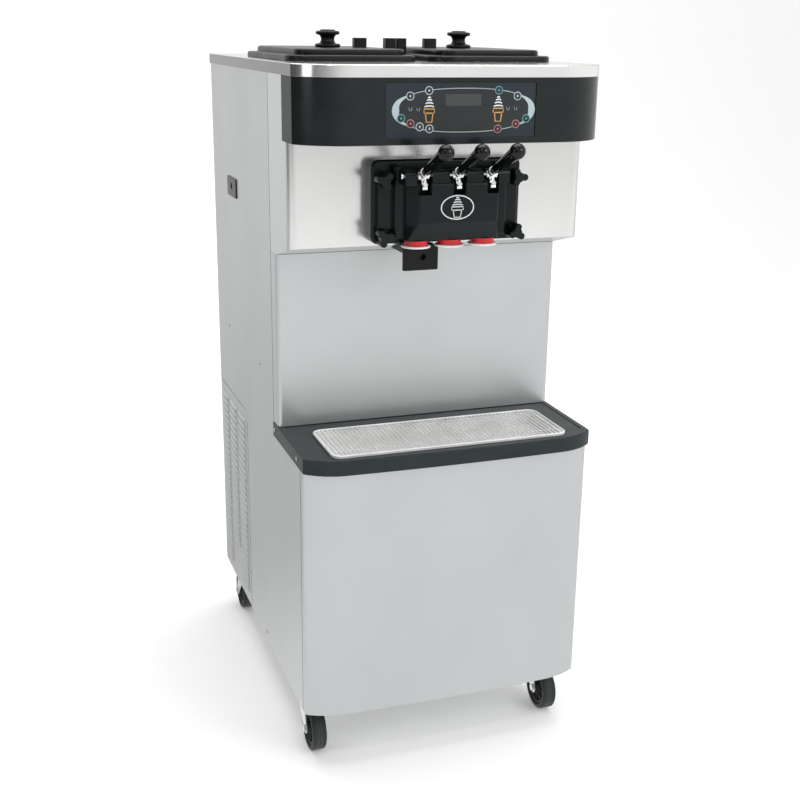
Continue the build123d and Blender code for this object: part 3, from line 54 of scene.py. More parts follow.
# ---------------------------------------------------------------- materials
class Look:
    """A node material: one Principled shader and the few nodes that feed it."""

    def __init__(self, name, color, roughness, metallic=0.0, coat=0.0, specular=0.5):
        self.material = bpy.data.materials.new(name)
        self.material.use_nodes = True
        self.material.diffuse_color = (*color, 1)
        self.tree = self.material.node_tree
        self.shader = self.tree.nodes["Principled BSDF"]
        self.set("Base Color", (*color, 1))
        self.set("Roughness", roughness)
        self.set("Metallic", metallic)
        self.set("Coat Weight", coat)
        self.set("Coat Roughness", 0.08)
        self.set("Specular IOR Level", specular)
        self.color = color
        self.roughness = roughness

    def set(self, socket, value):
        self.shader.inputs[socket].default_value = value

    def node(self, kind, **values):
        made = self.tree.nodes.new(kind)
        for key, value in values.items():
            if key in made.inputs:
                made.inputs[key].default_value = value
            else:
                setattr(made, key, value)
        return made

    def link(self, source, target):
        self.tree.links.new(source, target)

    def place(self, scale):
        """Object coordinates, in metres, stretched by scale."""
        coordinates = self.node("ShaderNodeTexCoord")
        mapping = self.node("ShaderNodeMapping", Scale=scale)
        self.link(coordinates.outputs["Object"], mapping.inputs["Vector"])
        return mapping.outputs["Vector"]

    def noise(self, scale, detail=3.0, roughness=0.6):
        made = self.node("ShaderNodeTexNoise", Scale=1.0, Detail=detail, Roughness=roughness)
        self.link(self.place(scale), made.inputs["Vector"])
        return made.outputs["Fac"]

    def span(self, value, low, high):
        """A 0 to 1 value stretched to run from low to high."""
        made = self.node("ShaderNodeMapRange")
        made.inputs["From Min"].default_value = 0.25
        made.inputs["From Max"].default_value = 0.75
        made.inputs["To Min"].default_value = low
        made.inputs["To Max"].default_value = high
        self.link(value, made.inputs["Value"])
        return made.outputs["Result"]

    def tint(self, value, change):
        """Makes the base colour lighter and darker by that share as value goes from 0 to 1."""
        ramp = self.node("ShaderNodeValToRGB")
        ramp.color_ramp.elements[0].position = 0.3
        ramp.color_ramp.elements[1].position = 0.7
        for element, gain in zip(ramp.color_ramp.elements, (1 - change, 1 + change)):
            element.color = (*[min(c * gain, 1) for c in self.color], 1)
        self.link(value, ramp.inputs["Fac"])
        self.link(ramp.outputs["Color"], self.shader.inputs["Base Color"])

    def sideways(self):
        """0 on faces that look forward, back, up or down, and 1 on faces that look left or right."""
        facing = self.node("ShaderNodeNewGeometry")
        parts = self.node("ShaderNodeSeparateXYZ")
        self.link(facing.outputs["Normal"], parts.inputs["Vector"])
        across = self.node("ShaderNodeMath", operation="ABSOLUTE")
        self.link(parts.outputs["X"], across.inputs[0])
        share = self.node("ShaderNodeMapRange")
        share.inputs["From Min"].default_value = 0.75
        share.inputs["From Max"].default_value = 0.97
        self.link(across.outputs["Value"], share.inputs["Value"])
        return share

    def shade_sides(self, side_color):
        """Gives faces that look left or right a colour of their own, used as painted shade on the
        sides. The tint is set before this.
        """
        mix = self.node("ShaderNodeMixRGB")
        mix.inputs["Color2"].default_value = (*side_color, 1)
        front = self.shader.inputs["Base Color"].links[0].from_socket
        self.link(self.sideways().outputs["Result"], mix.inputs["Fac"])
        self.link(front, mix.inputs["Color1"])
        self.link(mix.outputs["Color"], self.shader.inputs["Base Color"])

    def dull_sides(self, front, side):
        """Takes the specular level from front to side on faces that look left or right."""
        share = self.sideways()
        share.inputs["To Min"].default_value = front
        share.inputs["To Max"].default_value = side
        self.link(share.outputs["Result"], self.shader.inputs["Specular IOR Level"])

    def rough(self, value, spread):
        low = max(self.roughness - spread, 0.02)
        self.link(self.span(value, low, self.roughness + spread), self.shader.inputs["Roughness"])

    def relief(self, value, height, edge=0.0):
        """Bump of that height in metres, over edges softened to that radius."""
        bump = self.node("ShaderNodeBump", Strength=1.0, Distance=height)
        self.link(value, bump.inputs["Height"])
        if edge:
            softened = self.node("ShaderNodeBevel", samples=4, Radius=edge)
            self.link(softened.outputs["Normal"], bump.inputs["Normal"])
        self.link(bump.outputs["Normal"], self.shader.inputs["Normal"])


FINE = 1600.0  # grain lines per metre across the brushing
LONG = 9.0  # grain lines per metre along it


def brushed(name, color, roughness, metallic=0.82, sides=None):
    """Stainless sheet: drawn grain in the bump and the roughness, and a soft cloudiness.

    sides is the colour of faces that look left or right, where it differs: painted shade on the sides.
    """
    look = Look(name, color, roughness, metallic=metallic)
    strands = look.noise((FINE, FINE, LONG), detail=4.0)
    clouds = look.noise((5.0, 5.0, 3.0), detail=2.0)
    look.tint(clouds, 0.025)
    if sides is not None:
        look.shade_sides(sides)
    look.rough(strands, 0.07)
    look.relief(strands, height=0.000008, edge=0.0008)
    return look.material


def moulded(
    name,
    color,
    roughness,
    grain=900.0,
    depth=0.00002,
    edge=0.0009,
    coat=0.0,
    specular=0.5,
    sides=None,
):
    """Moulded plastic: a fine eggshell texture, uneven gloss, and edges that catch the light.

    sides is the specular level of faces that look left or right, where it differs.
    """
    look = Look(name, color, roughness, coat=coat, specular=specular)
    pebble = look.noise((grain, grain, grain), detail=2.0)
    smears = look.noise((14.0, 14.0, 22.0), detail=3.0)
    look.tint(smears, 0.12)
    look.rough(smears, 0.05)
    look.relief(pebble, depth, edge)
    if sides is not None:
        look.dull_sides(specular, sides)
    return look.material


def plated(name, color, roughness):
    """Polished or plated metal with faint handling marks."""
    look = Look(name, color, roughness, metallic=1.0)
    marks = look.noise((160.0, 160.0, 160.0), detail=3.0)
    look.rough(marks, 0.04)
    look.tint(marks, 0.04)
    look.relief(marks, height=0.000006, edge=0.0005)
    return look.material


def rubber(name, color):
    look = Look(name, color, 0.62)
    scuffs = look.noise((240.0, 240.0, 240.0), detail=4.0)
    look.tint(scuffs, 0.35)
    look.rough(scuffs, 0.1)
    look.relief(scuffs, height=0.00008, edge=0.001)
    return look.material


def finned(name, color, pitch):
    """Thin upright aluminium fins at that pitch, as dark and light lines with relief: the dark lines
    are painted shade in the gaps between fins, the light lines painted light on the fin edges.
    """
    look = Look(name, color, 0.35, metallic=1.0)
    wave = look.node("ShaderNodeTexWave", Scale=1.0, Distortion=0.0)
    wave.bands_direction = "Y"
    look.link(look.place((0.0, 0.314 / pitch, 0.0)), wave.inputs["Vector"])
    # painted shade and light: the wave darkens the gaps between fins and lightens the fins
    look.tint(wave.outputs["Fac"], 0.6)
    look.relief(wave.outputs["Fac"], height=0.001)
    return look.material


STEEL = (0.56, 0.575, 0.58)
MATERIALS = {
    "brushed_stainless": brushed("brushed_stainless", STEEL, 0.36),
    # polished sheet: faces that look left or right take the darker STEEL colour, painted shade on its
    # sides
    "polished_stainless": brushed(
        "polished_stainless", (0.74, 0.74, 0.73), 0.2, metallic=0.95, sides=STEEL
    ),
    "structural_steel": plated("structural_steel", (0.42, 0.43, 0.44), 0.5),
    "fascia_black": moulded(
        "fascia_black", (0.006, 0.010, 0.010), 0.2, depth=0.000006, specular=0.36, sides=0.05
    ),
    "shelf_charcoal": moulded("shelf_charcoal", (0.022, 0.029, 0.031), 0.36, specular=0.18),
    "door_black": moulded(
        "door_black", (0.005, 0.009, 0.009), 0.22, depth=0.000008, edge=0.0024, specular=0.22
    ),
    "lid_black": moulded("lid_black", (0.005, 0.006, 0.006), 0.3, specular=0.22),
    "grip_black": moulded(
        "grip_black", (0.002, 0.002, 0.002), 0.06, depth=0.000002, specular=0.34
    ),
    "overlay_slate": moulded(
        "overlay_slate", (0.012, 0.021, 0.028), 0.3, depth=0.000006, specular=0.36
    ),
    "cap_red": moulded("cap_red", (0.58, 0.012, 0.018), 0.28, depth=0.00001),
    "food_white": moulded("food_white", (0.84, 0.84, 0.82), 0.38, depth=0.00001),
    "chrome": plated("chrome", (0.82, 0.83, 0.83), 0.08),
    "wire_white": moulded("wire_white", (0.86, 0.87, 0.87), 0.3, edge=0.0003, coat=0.3),
    "zinc": plated("zinc", (0.72, 0.73, 0.73), 0.26),
    "caster_rubber": rubber("caster_rubber", (0.012, 0.015, 0.015)),
    "board_green": moulded("board_green", (0.03, 0.2, 0.08), 0.4),
    "foam_jacket": moulded("foam_jacket", (0.05, 0.05, 0.05), 0.8, grain=300.0, depth=0.0002),
    "motor_grey": moulded("motor_grey", (0.2, 0.21, 0.22), 0.4),
    "compressor_black": moulded("compressor_black", (0.01, 0.01, 0.01), 0.3, coat=0.5),
    "fin_aluminium": finned("fin_aluminium", (0.6, 0.61, 0.62), 0.003),
    "fan_grey": moulded("fan_grey", (0.15, 0.15, 0.15), 0.45),
    "gasket_rubber": rubber("gasket_rubber", (0.75, 0.74, 0.70)),
    "screw_steel": plated("screw_steel", (0.5, 0.5, 0.5), 0.25),
}

# prints and inserts that the added pieces need
FILM = 0.000004  # texture of a printed film
PRINT_WHITE = moulded("print_white", (0.78, 0.82, 0.83), 0.4, depth=FILM)
PRINT_SILVER = moulded("print_silver", (0.42, 0.50, 0.53), 0.35, depth=FILM)
PRINT_AMBER = moulded("print_amber", (0.62, 0.33, 0.10), 0.4, depth=FILM)
PRINT_ROSE = moulded("print_rose", (0.42, 0.16, 0.19), 0.4, depth=FILM)
PRINT_TEAL = moulded("print_teal", (0.10, 0.32, 0.35), 0.4, depth=FILM)
INSERT_BLACK = moulded("insert_black", (0.006, 0.008, 0.009), 0.3, depth=FILM)
GLASS_DARK = moulded("display_window", (0.022, 0.026, 0.027), 0.12, depth=0.000002, coat=1.0)
FIELD_BLACK = moulded("overlay_field", (0.008, 0.012, 0.013), 0.3, depth=FILM)
# near-black strip colour in the panel seams: painted shadow where the seam gaps would show light
SEAM_SHADOW_BLACK = rubber("seam_shade_strip", (0.006, 0.006, 0.006))
FILTER_GREY = rubber("filter_foam", (0.02, 0.021, 0.022))

SLOT_OF = {part["node"]: part["material_slot"] for part in frame["record"]["subparts"]}
# top cap steel: front faces painted near white as a painted sheen, faces that look left or right
# painted near black as painted shade
CAP_STEEL_PAINTED_LIGHT = brushed("cap_steel_painted_light", (0.90, 0.90, 0.89), 0.16, metallic=1.0, sides=(0.15, 0.153, 0.153))
for node_name, node_object in frame["nodes"].items():
    node_object.data.materials.clear()
    node_object.data.materials.append(MATERIALS[SLOT_OF[node_name]])
frame["nodes"]["top_cap"].data.materials[0] = CAP_STEEL_PAINTED_LIGHT


# ---------------------------------------------------------------- mesh helpers
WELD = 1e-7  # points closer than this become one


def finish_mesh(mesh, name, material, body, smooth=True):
    """Turns a bmesh into a piece that rides on a body."""
    bmesh.ops.recalc_face_normals(mesh, faces=mesh.faces)
    data = bpy.data.meshes.new(name)
    mesh.to_mesh(data)
    mesh.free()
    for face in data.polygons:
        face.use_smooth = smooth
    data.materials.append(material)
    piece = bpy.data.objects.new(name, data)
    bpy.context.scene.collection.objects.link(piece)
    if smooth:
        sharpen = piece.modifiers.new("edges", "EDGE_SPLIT")
        sharpen.split_angle = math.radians(35)
    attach(piece, body)
    return piece


def sweep_sheet(mesh, rows, closed=False):
    """Quads between neighbouring rows of points."""
    made = [[mesh.verts.new(point) for point in row] for row in rows]
    if closed:
        made.append(made[0])
    for first, second in zip(made, made[1:]):
        for (a, b), (c, d) in zip(zip(first, first[1:]), zip(second, second[1:])):
            mesh.faces.new((a, b, d, c))
    return made


def lathe(mesh, profile, centre, axis, steps=48):
    """Turns a closed (radius, height) profile about an axis through centre."""
    turn = Vector((0, 0, 1)).rotation_difference(Vector(axis)).to_matrix()
    loop = profile + [profile[0]]
    rows = []
    for step in range(steps):
        angle = math.tau * step / steps
        c, s = math.cos(angle), math.sin(angle)
        rows.append([Vector(centre) + turn @ Vector((r * c, r * s, h)) for r, h in loop])
    sweep_sheet(mesh, rows, closed=True)
    bmesh.ops.remove_doubles(mesh, verts=mesh.verts, dist=1e-6)


def raise_outline(mesh, points, y, thick):
    """A flat plate facing -Y: the outline is (x, z), its back at y, its front at y - thick."""
    back = [mesh.verts.new((x, y, z)) for x, z in points]
    front = [mesh.verts.new((x, y - thick, z)) for x, z in points]
    mesh.faces.new(back)
    mesh.faces.new(list(reversed(front)))
    for i, vert in enumerate(back):
        j = (i + 1) % len(back)
        mesh.faces.new((vert, back[j], front[j], front[i]))


def raise_ribbon(mesh, points, widths, y, thick, closed=False):
    """A flat strip facing -Y along (x, z) points, as wide at each point as widths says."""
    count = len(points)
    rows = []
    for i, (x, z) in enumerate(points):
        before = Vector(points[i - 1] if closed or i else points[0])
        after = Vector(points[(i + 1) % count] if closed or i < count - 1 else points[-1])
        along = (after - before).normalized()
        side = Vector((-along.y, along.x)) * widths[i] / 2
        outer = (x + side.x, z + side.y)
        inner = (x - side.x, z - side.y)
        rows.append(
            [
                (outer[0], y, outer[1]),
                (outer[0], y - thick, outer[1]),
                (inner[0], y - thick, inner[1]),
                (inner[0], y, inner[1]),
                (outer[0], y, outer[1]),
            ]
        )
    made = sweep_sheet(mesh, rows, closed)
    if not closed:
        for row in (made[0], made[-1]):
            mesh.faces.new(row[:4])
    bmesh.ops.remove_doubles(mesh, verts=mesh.verts, dist=WELD)


# ---------------------------------------------------------------- louvre hoods and air filters
SHEET = 0.0006  # thickness of the pressed hoods and of the filter sheet
HOOD_LENGTH = 0.092
HOOD_PROUD = 0.0046
HOOD_RISE = 0.010
HOOD_LIFT = 0.00005  # gap that keeps a hood's rim off the skin
SLIT_COLUMNS = 3
SLIT_ROWS = 28
BLANK_ROWS = 5  # the middle column starts that many rows higher
SLIT_PITCH = 0.017
COLUMN_PITCH = 0.100
FIRST_SLIT = (0.063, 0.030)  # first hood's middle and foot, from the panel's front and bottom


def thicken(piece):
    """Gives an open sheet its thickness, half to each side."""
    shell = piece.modifiers.new("thickness", "SOLIDIFY")
    shell.thickness = SHEET
    shell.offset = 0


def hood_rows(skin_x, sign, centre_y, foot_z):
    """Sections of one hood along its length: proud at the slit, faired in above it."""
    rows = []
    for step in range(13):
        along = -1 + 2 * step / 12
        taper = math.sqrt(max(1 - along**4, 0.0))
        y = centre_y + along * HOOD_LENGTH / 2
        line = []
        for k in range(6):
            climb = k / 5
            out = HOOD_PROUD * taper * math.cos(climb * math.pi / 2) ** 0.8
            z = foot_z + climb * HOOD_RISE * (0.35 + 0.65 * taper)
            line.append((skin_x + sign * (out + HOOD_LIFT), y, z))
        rows.append(line)
    return rows


def louvre_hoods(side, sign):
    """The pressed hoods over the slits of one service panel."""
    low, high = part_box(f"louver_panel_{side}")
    skin_x = sign * max(abs(low[0]), abs(high[0]))
    steel = "brushed_stainless"
    mesh = bmesh.new()
    for column in range(SLIT_COLUMNS):
        centre_y = low[1] + FIRST_SLIT[0] + COLUMN_PITCH * column
        first = BLANK_ROWS if column == 1 else 0
        for row in range(first, SLIT_ROWS):
            foot_z = low[2] + FIRST_SLIT[1] + row * SLIT_PITCH
            sweep_sheet(mesh, hood_rows(skin_x, sign, centre_y, foot_z))
    hoods = finish_mesh(mesh, f"louvre_hoods_{side}", MATERIALS[steel], CABINET)
    thicken(hoods)


def air_filter(side, sign):
    """Pleated filter sheet behind the slits."""
    low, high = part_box(f"louver_panel_{side}")
    skin = sign * (max(abs(low[0]), abs(high[0])) - 0.0022)
    fold = 0.0028
    pleats = 48
    front, back = low[1] + 0.014, high[1] - 0.012
    mesh = bmesh.new()
    rows = []
    for k in range(pleats + 1):
        y = front + (back - front) * k / pleats
        x = skin - sign * fold * (k % 2)
        rows.append([(x, y, low[2] + 0.016), (x, y, high[2] - 0.012)])
    sweep_sheet(mesh, rows)
    pad = finish_mesh(mesh, f"air_filter_{side}", FILTER_GREY, CABINET, False)
    thicken(pad)


for side_name, side_sign in SIDES:
    louvre_hoods(side_name, side_sign)
    air_filter(side_name, side_sign)


# ---------------------------------------------------------------- dark strips in the panel seams, painted shadow in the seam gaps
def shade_strip_mesh(name, rows):
    """Soft near-black strip through the given cross-sections, each a list of points round the strip; it
    is painted shadow in a seam.
    """
    mesh = bmesh.new()
    sweep_sheet(mesh, [row + [row[0]] for row in rows])
    bmesh.ops.remove_doubles(mesh, verts=mesh.verts, dist=WELD)
    bmesh.ops.holes_fill(mesh, edges=mesh.edges)
    finish_mesh(mesh, name, SEAM_SHADOW_BLACK, CABINET, smooth=False)


def upright_shade_strip(name, x, y, z0, z1, sign):
    """Bulb-shaped dark strip that fills an upright seam at the skin, as painted shadow in the seam."""
    half_y = 0.0021
    depth = 0.0016

    def ring(z):
        points = []
        for k in range(10):
            angle = math.tau * k / 10
            inward = depth / 2 - depth / 2 * math.cos(angle)
            points.append((x - sign * inward, y + half_y * math.sin(angle), z))
        return points

    shade_strip_mesh(name, [ring(z0), ring((z0 + z1) / 2), ring(z1)])


def seam_shade_strips():
    """Painted shadow strips in four seams on each side: column, base, base corner and service panel."""
    side_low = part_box("side_panel_left")[0]
    base_low, base_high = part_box("base_side_panels")
    louvre_low, louvre_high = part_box("louver_panel_left")
    shelf_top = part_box("shelf")[1][2]
    cap_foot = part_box("top_cap")[0][2]
    proud = 0.0002
    gap = 0.001  # from a panel's edge to the middle of its seam
    base_foot = base_low[2] + gap
    louvre_corner = 0.025
    for side, sign in SIDES:
        skin = sign * (abs(side_low[0]) + proud)
        base_skin = sign * (abs(base_low[0]) + proud)
        seams = (
            ("column", skin, side_low[1], shelf_top, cap_foot + 0.002),
            ("base", skin, side_low[1], base_foot, base_high[2]),
            ("corner", base_skin, base_low[1], base_foot, base_high[2]),
            ("louvre", skin, louvre_low[1], louvre_low[2] + gap, louvre_high[2] - louvre_corner),
        )
        for label, x, edge_y, foot, top in seams:
            upright_shade_strip(f"seam_shade_strip_{label}_{side}", x, edge_y - gap, foot, top, sign)


seam_shade_strips()


# ---------------------------------------------------------------- white rims under the red star caps
def spout_rims():
    low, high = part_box("star_caps")
    centre_y = (low[1] + high[1]) / 2
    inner, outer, foot, top = 0.0243, 0.0300, low[2] - 0.0008, low[2] + 0.0032
    bevel = 0.0012
    profile = [
        (inner, foot),
        (outer - bevel, foot),
        (outer, foot + bevel),
        (outer, top - bevel),
        (outer - bevel, top),
        (inner, top),
    ]
    for label in ("left", "centre", "right"):
        mesh = bmesh.new()
        lathe(mesh, profile, (middle(f"draw_valve_{label}").x, centre_y, 0), (0, 0, 1))
        finish_mesh(mesh, f"spout_rim_{label}", MATERIALS["food_white"], CABINET)


spout_rims()


# ---------------------------------------------------------------- prints on the control overlay
overlay_low, overlay_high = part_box("control_overlay")
FACE_Y = overlay_low[1]
FACE_X = (overlay_low[0] + overlay_high[0]) / 2
FACE_Z = (overlay_low[2] + overlay_high[2]) / 2
KEY_R = 0.0078
PRINT_THICK = 0.00025
MARK_LIFT = 0.0008  # a key's mark above the overlay
# key centres from the middle of the overlay, in metres, with the colour of each ring
KEYS = {
    "up_left": (-0.106, 0.027, PRINT_SILVER),
    "top_left": (-0.068, 0.037, PRINT_SILVER),
    "side_left": (-0.124, -0.014, PRINT_TEAL),
    "low_left": (-0.105, -0.024, PRINT_ROSE),
    "arrow_up": (-0.086, -0.030, PRINT_SILVER),
    "arrow_down": (-0.066, -0.034, PRINT_SILVER),
    "top_right": (0.076, 0.037, PRINT_TEAL),
    "up_right": (0.116, 0.026, PRINT_SILVER),
    "side_right": (0.136, -0.017, PRINT_TEAL),
    "low_right": (0.114, -0.027, PRINT_ROSE),
    "bottom_right": (0.076, -0.036, PRINT_ROSE),
}
ARROW_UP = ((0, 1), (0.9, -0.1), (0.4, -0.1), (0.4, -0.9), (-0.4, -0.9), (-0.4, -0.1), (-0.9, -0.1))
KEY_MARKS = {"arrow_up": ARROW_UP, "arrow_down": [(-x, -z) for x, z in ARROW_UP]}
DIAMOND = ((0, 0.9), (0.8, 0), (0, -0.9), (-0.8, 0))
MARK_SIZE = 0.0032
RING_HALF_X = 0.141
RING_HALF_Z = 0.041
RING_X = FACE_X + 0.006
RING_SQUARENESS = 0.82  # 1 is an ellipse, less is squarer


def overlay_print(mesh, name, ink, smooth=False):
    """A printed or domed piece of the overlay."""
    finish_mesh(mesh, name, ink, CABINET, smooth)


def overlay_ring():
    """Closed oval line that swells to a crescent at both ends."""
    points, widths = [], []
    steps = 120
    for i in range(steps):
        angle = math.tau * i / steps
        c, s = math.cos(angle), math.sin(angle)
        x = RING_HALF_X * math.copysign(abs(c) ** RING_SQUARENESS, c)
        z = RING_HALF_Z * math.copysign(abs(s) ** RING_SQUARENESS, s)
        points.append((RING_X + x, FACE_Z + z))
        end = max(0.0, 1 - abs(s) / 0.62)
        widths.append(0.0014 + 0.0135 * end**0.8)
    field = bmesh.new()
    raise_outline(field, points, FACE_Y, PRINT_THICK / 2)
    overlay_print(field, "overlay_field", FIELD_BLACK)
    mesh = bmesh.new()
    raise_ribbon(mesh, points, widths, FACE_Y, PRINT_THICK, closed=True)
    overlay_print(mesh, "overlay_ring", PRINT_SILVER)


def overlay_keys():
    """Each key is a domed button inside a coloured ring, with a small mark on it."""
    forward = (0, -1, 0)
    crown = [
        (0.0, 0.0),
        (KEY_R, 0.0),
        (KEY_R, 0.00035),
        (KEY_R * 0.8, 0.0007),
        (KEY_R * 0.4, 0.0009),
        (0.0, 0.00095),
    ]
    rim = [
        (KEY_R - 0.0013, 0.00045),
        (KEY_R - 0.0001, 0.00045),
        (KEY_R + 0.0004, 0.0),
        (KEY_R + 0.0004, 0.0008),
        (KEY_R - 0.0013, 0.0009),
    ]
    for name, (dx, dz, ink) in KEYS.items():
        x, z = FACE_X + dx, FACE_Z + dz
        dome = bmesh.new()
        lathe(dome, crown, (x, FACE_Y, z), forward, steps=40)
        overlay_print(dome, f"key_{name}", INSERT_BLACK, smooth=True)
        ring = bmesh.new()
        lathe(ring, rim, (x, FACE_Y, z), forward, steps=40)
        overlay_print(ring, f"key_ring_{name}", ink, smooth=True)
        mark = bmesh.new()
        outline = KEY_MARKS.get(name, DIAMOND)
        points = [(x + MARK_SIZE * mx, z + MARK_SIZE * mz) for mx, mz in outline]
        raise_outline(mark, points, FACE_Y - MARK_LIFT, PRINT_THICK)
        overlay_print(mark, f"key_mark_{name}", ink)


# half outline of a wafer cup, and the half width and height of each tier of the swirl, in sizes
CUP_SIDE = ((0.34, 0.02), (0.34, -0.14), (0.25, -0.16), (0.18, -0.55))
CUP_BAND = ((-0.25, -0.16), (0.25, -0.16))
SWIRL_TIERS = ((0.30, 0.10), (0.23, 0.24), (0.15, 0.37), (0.07, 0.48))
SWIRL_LIFT = 0.05


def cone_print(name, x, z, size, y, cup_ink, swirl_ink, narrow=1.0):
    """Line drawing of a wafer cup with a soft swirl on it."""

    def strip(mesh, points, width, closed=False):
        placed = [(x + size * narrow * px, z + size * pz) for px, pz in points]
        raise_ribbon(mesh, placed, [width] * len(placed), y, PRINT_THICK, closed)

    line = 0.055 * size
    cup = bmesh.new()
    bowl = [(-px, pz) for px, pz in CUP_SIDE] + list(reversed(CUP_SIDE))
    strip(cup, bowl, line, closed=True)
    strip(cup, CUP_BAND, line)
    overlay_print(cup, f"{name}_cup", cup_ink)
    swirl = bmesh.new()
    arc = [math.pi * k / 12 for k in range(13)]
    for half, height in SWIRL_TIERS:
        tier = [(half * math.cos(a), height + SWIRL_LIFT * math.sin(a)) for a in arc]
        strip(swirl, tier, line * 1.1)
    overlay_print(swirl, f"{name}_swirl", swirl_ink)


def small_cups(side, x):
    """Two small cup pictograms beside each cone."""
    shape = ((-0.7, 0.6), (-0.45, -0.7), (0.45, -0.7), (0.7, 0.6))
    size = 0.0045
    z = FACE_Z + 0.003
    for k, offset in enumerate((-0.008, 0.008)):
        cup = bmesh.new()
        outline = [(x + offset + size * px, z + size * pz) for px, pz in shape]
        raise_ribbon(cup, outline, [0.0008] * len(outline), FACE_Y, PRINT_THICK)
        overlay_print(cup, f"small_cup_{side}_{k}", PRINT_SILVER)


def rounded_rectangle(x0, x1, z0, z1, radius, steps=6):
    points = []
    left, right = x0 + radius, x1 - radius
    foot, top = z0 + radius, z1 - radius
    corners = ((right, top), (left, top), (left, foot), (right, foot))
    for quarter, (cx, cz) in enumerate(corners):
        for k in range(steps + 1):
            angle = math.pi / 2 * (quarter + k / steps)
            points.append((cx + radius * math.cos(angle), cz + radius * math.sin(angle)))
    return points


def display_window():
    mesh = bmesh.new()
    left, right = FACE_X - 0.034, FACE_X + 0.040
    outline = rounded_rectangle(left, right, FACE_Z + 0.008, FACE_Z + 0.030, radius=0.002)
    raise_outline(mesh, outline, FACE_Y, thick=0.0003)
    overlay_print(mesh, "display_window", GLASS_DARK)


overlay_ring()
overlay_keys()
for side_name, cone_x, cups_x in (("left", -0.067, -0.097), ("right", 0.076, 0.105)):
    cone_print(
        f"cone_{side_name}",
        FACE_X + cone_x,
        FACE_Z + 0.002,
        0.043,
        FACE_Y,
        PRINT_AMBER,
        PRINT_WHITE,
        narrow=0.72,
    )
    small_cups(side_name, FACE_X + cups_x)
display_window()


# ---------------------------------------------------------------- generic badge on the door
def door_badge():
    """A plain oval with the drawing of a cone, printed on the door's face."""
    x, y, z = -0.004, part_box("dispensing_door")[0][1], 1.219
    half_x, half_z, line = 0.034, 0.02312, 0.0022
    mesh = bmesh.new()
    angles = [math.tau * k / 64 for k in range(64)]
    oval = [(x + half_x * math.cos(a), z + half_z * math.sin(a)) for a in angles]
    raise_ribbon(mesh, oval, [line] * len(oval), y, PRINT_THICK, closed=True)
    finish_mesh(mesh, "door_badge", PRINT_WHITE, CABINET, smooth=False)
    cone_print("door_badge_cone", x, z + 0.0005, 0.036, y, PRINT_WHITE, PRINT_WHITE)


door_badge()


# ---------------------------------------------------------------- caster treads
def caster_tread(place):
    """Softer tyre band round the wheel, with shallow grooves."""
    centre = middle(f"caster_wheel_{place}")
    low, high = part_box(f"caster_wheel_{place}")
    radius = (high[2] - low[2]) / 2
    crown, shoulder, root, inner = (radius + d for d in (0.0001, -0.0002, -0.0009, -0.002))
    half = 0.0105
    profile = [(inner, -half), (shoulder, -half)]
    for groove in (-0.006, 0.0, 0.006):
        profile += [
            (crown, groove - 0.0011),
            (root, groove - 0.0006),
            (root, groove + 0.0006),
            (crown, groove + 0.0011),
        ]
    profile += [(shoulder, half), (inner, half)]
    mesh = bmesh.new()
    lathe(mesh, profile, centre, (1, 0, 0), steps=72)
    finish_mesh(mesh, f"tread_{place}", TREAD, f"{place}_wheel")


TREAD = rubber("tread_rubber", (0.026, 0.034, 0.034))
for corner in ("front_left", "front_right", "rear_left", "rear_right"):
    caster_tread(corner)


# ---------------------------------------------------------------- floor, light and camera
FLOOR_REACH = 8.0
# share of the way from that far in front of the machine to that far behind it, and the brightness there
FLOOR_GREYS = ((0.22, 1.24), (0.40, 1.03), (0.49, 1.0), (0.555, 0.66), (0.62, 0.68), (0.75, 0.88))


def backdrop_look():
    """White to the eye; in reflections it grades from grey behind the machine to white in front."""
    look = Look("backdrop", (0.93, 0.93, 0.93), 0.9)
    look.set("Emission Color", (1, 1, 1, 1))
    look.set("Emission Strength", 0.16)
    parts = look.node("ShaderNodeSeparateXYZ")
    look.link(look.place((1, 1, 1)), parts.inputs["Vector"])
    depth = look.node("ShaderNodeValToRGB")
    depth.color_ramp.interpolation = "EASE"
    for _ in range(len(FLOOR_GREYS) - 2):
        depth.color_ramp.elements.new(0.5)
    for element, (position, grey) in zip(depth.color_ramp.elements, FLOOR_GREYS):
        element.position = position
        element.color = (grey, grey, grey, 1)
    across = look.node("ShaderNodeMapRange")
    across.inputs["From Min"].default_value = -FLOOR_REACH
    across.inputs["From Max"].default_value = FLOOR_REACH
    look.link(parts.outputs["Y"], across.inputs["Value"])
    look.link(across.outputs["Result"], depth.inputs["Fac"])
    glow = look.node("ShaderNodeEmission")
    look.link(depth.outputs["Color"], glow.inputs["Color"])
    path = look.node("ShaderNodeLightPath")
    mix = look.node("ShaderNodeMixShader")
    output = look.tree.nodes["Material Output"]
    look.link(path.outputs["Is Glossy Ray"], mix.inputs["Fac"])
    look.link(look.shader.outputs["BSDF"], mix.inputs[1])
    look.link(glow.outputs["Emission"], mix.inputs[2])
    look.link(mix.outputs["Shader"], output.inputs["Surface"])
    return look.material


def sweep_backdrop():
    """Pale floor that curves up into a wall behind the machine."""
    mesh = bmesh.new()
    half, front, back, radius, height = 9.0, -FLOOR_REACH, 4.5, 2.5, 7.0
    profile = [(front, 0.0), (back - radius, 0.0)]
    for k in range(1, 13):
        angle = math.pi / 2 * k / 12
        profile.append((back - radius + radius * math.sin(angle), radius - radius * math.cos(angle)))
    profile.append((back, height))
    sweep_sheet(mesh, [[(x, y, z) for y, z in profile] for x in (-half, 0, half)])
    data = bpy.data.meshes.new("backdrop")
    mesh.to_mesh(data)
    mesh.free()
    for face in data.polygons:
        face.use_smooth = True
    floor = bpy.data.objects.new("backdrop", data)
    bpy.context.scene.collection.objects.link(floor)
    floor.data.materials.append(backdrop_look())


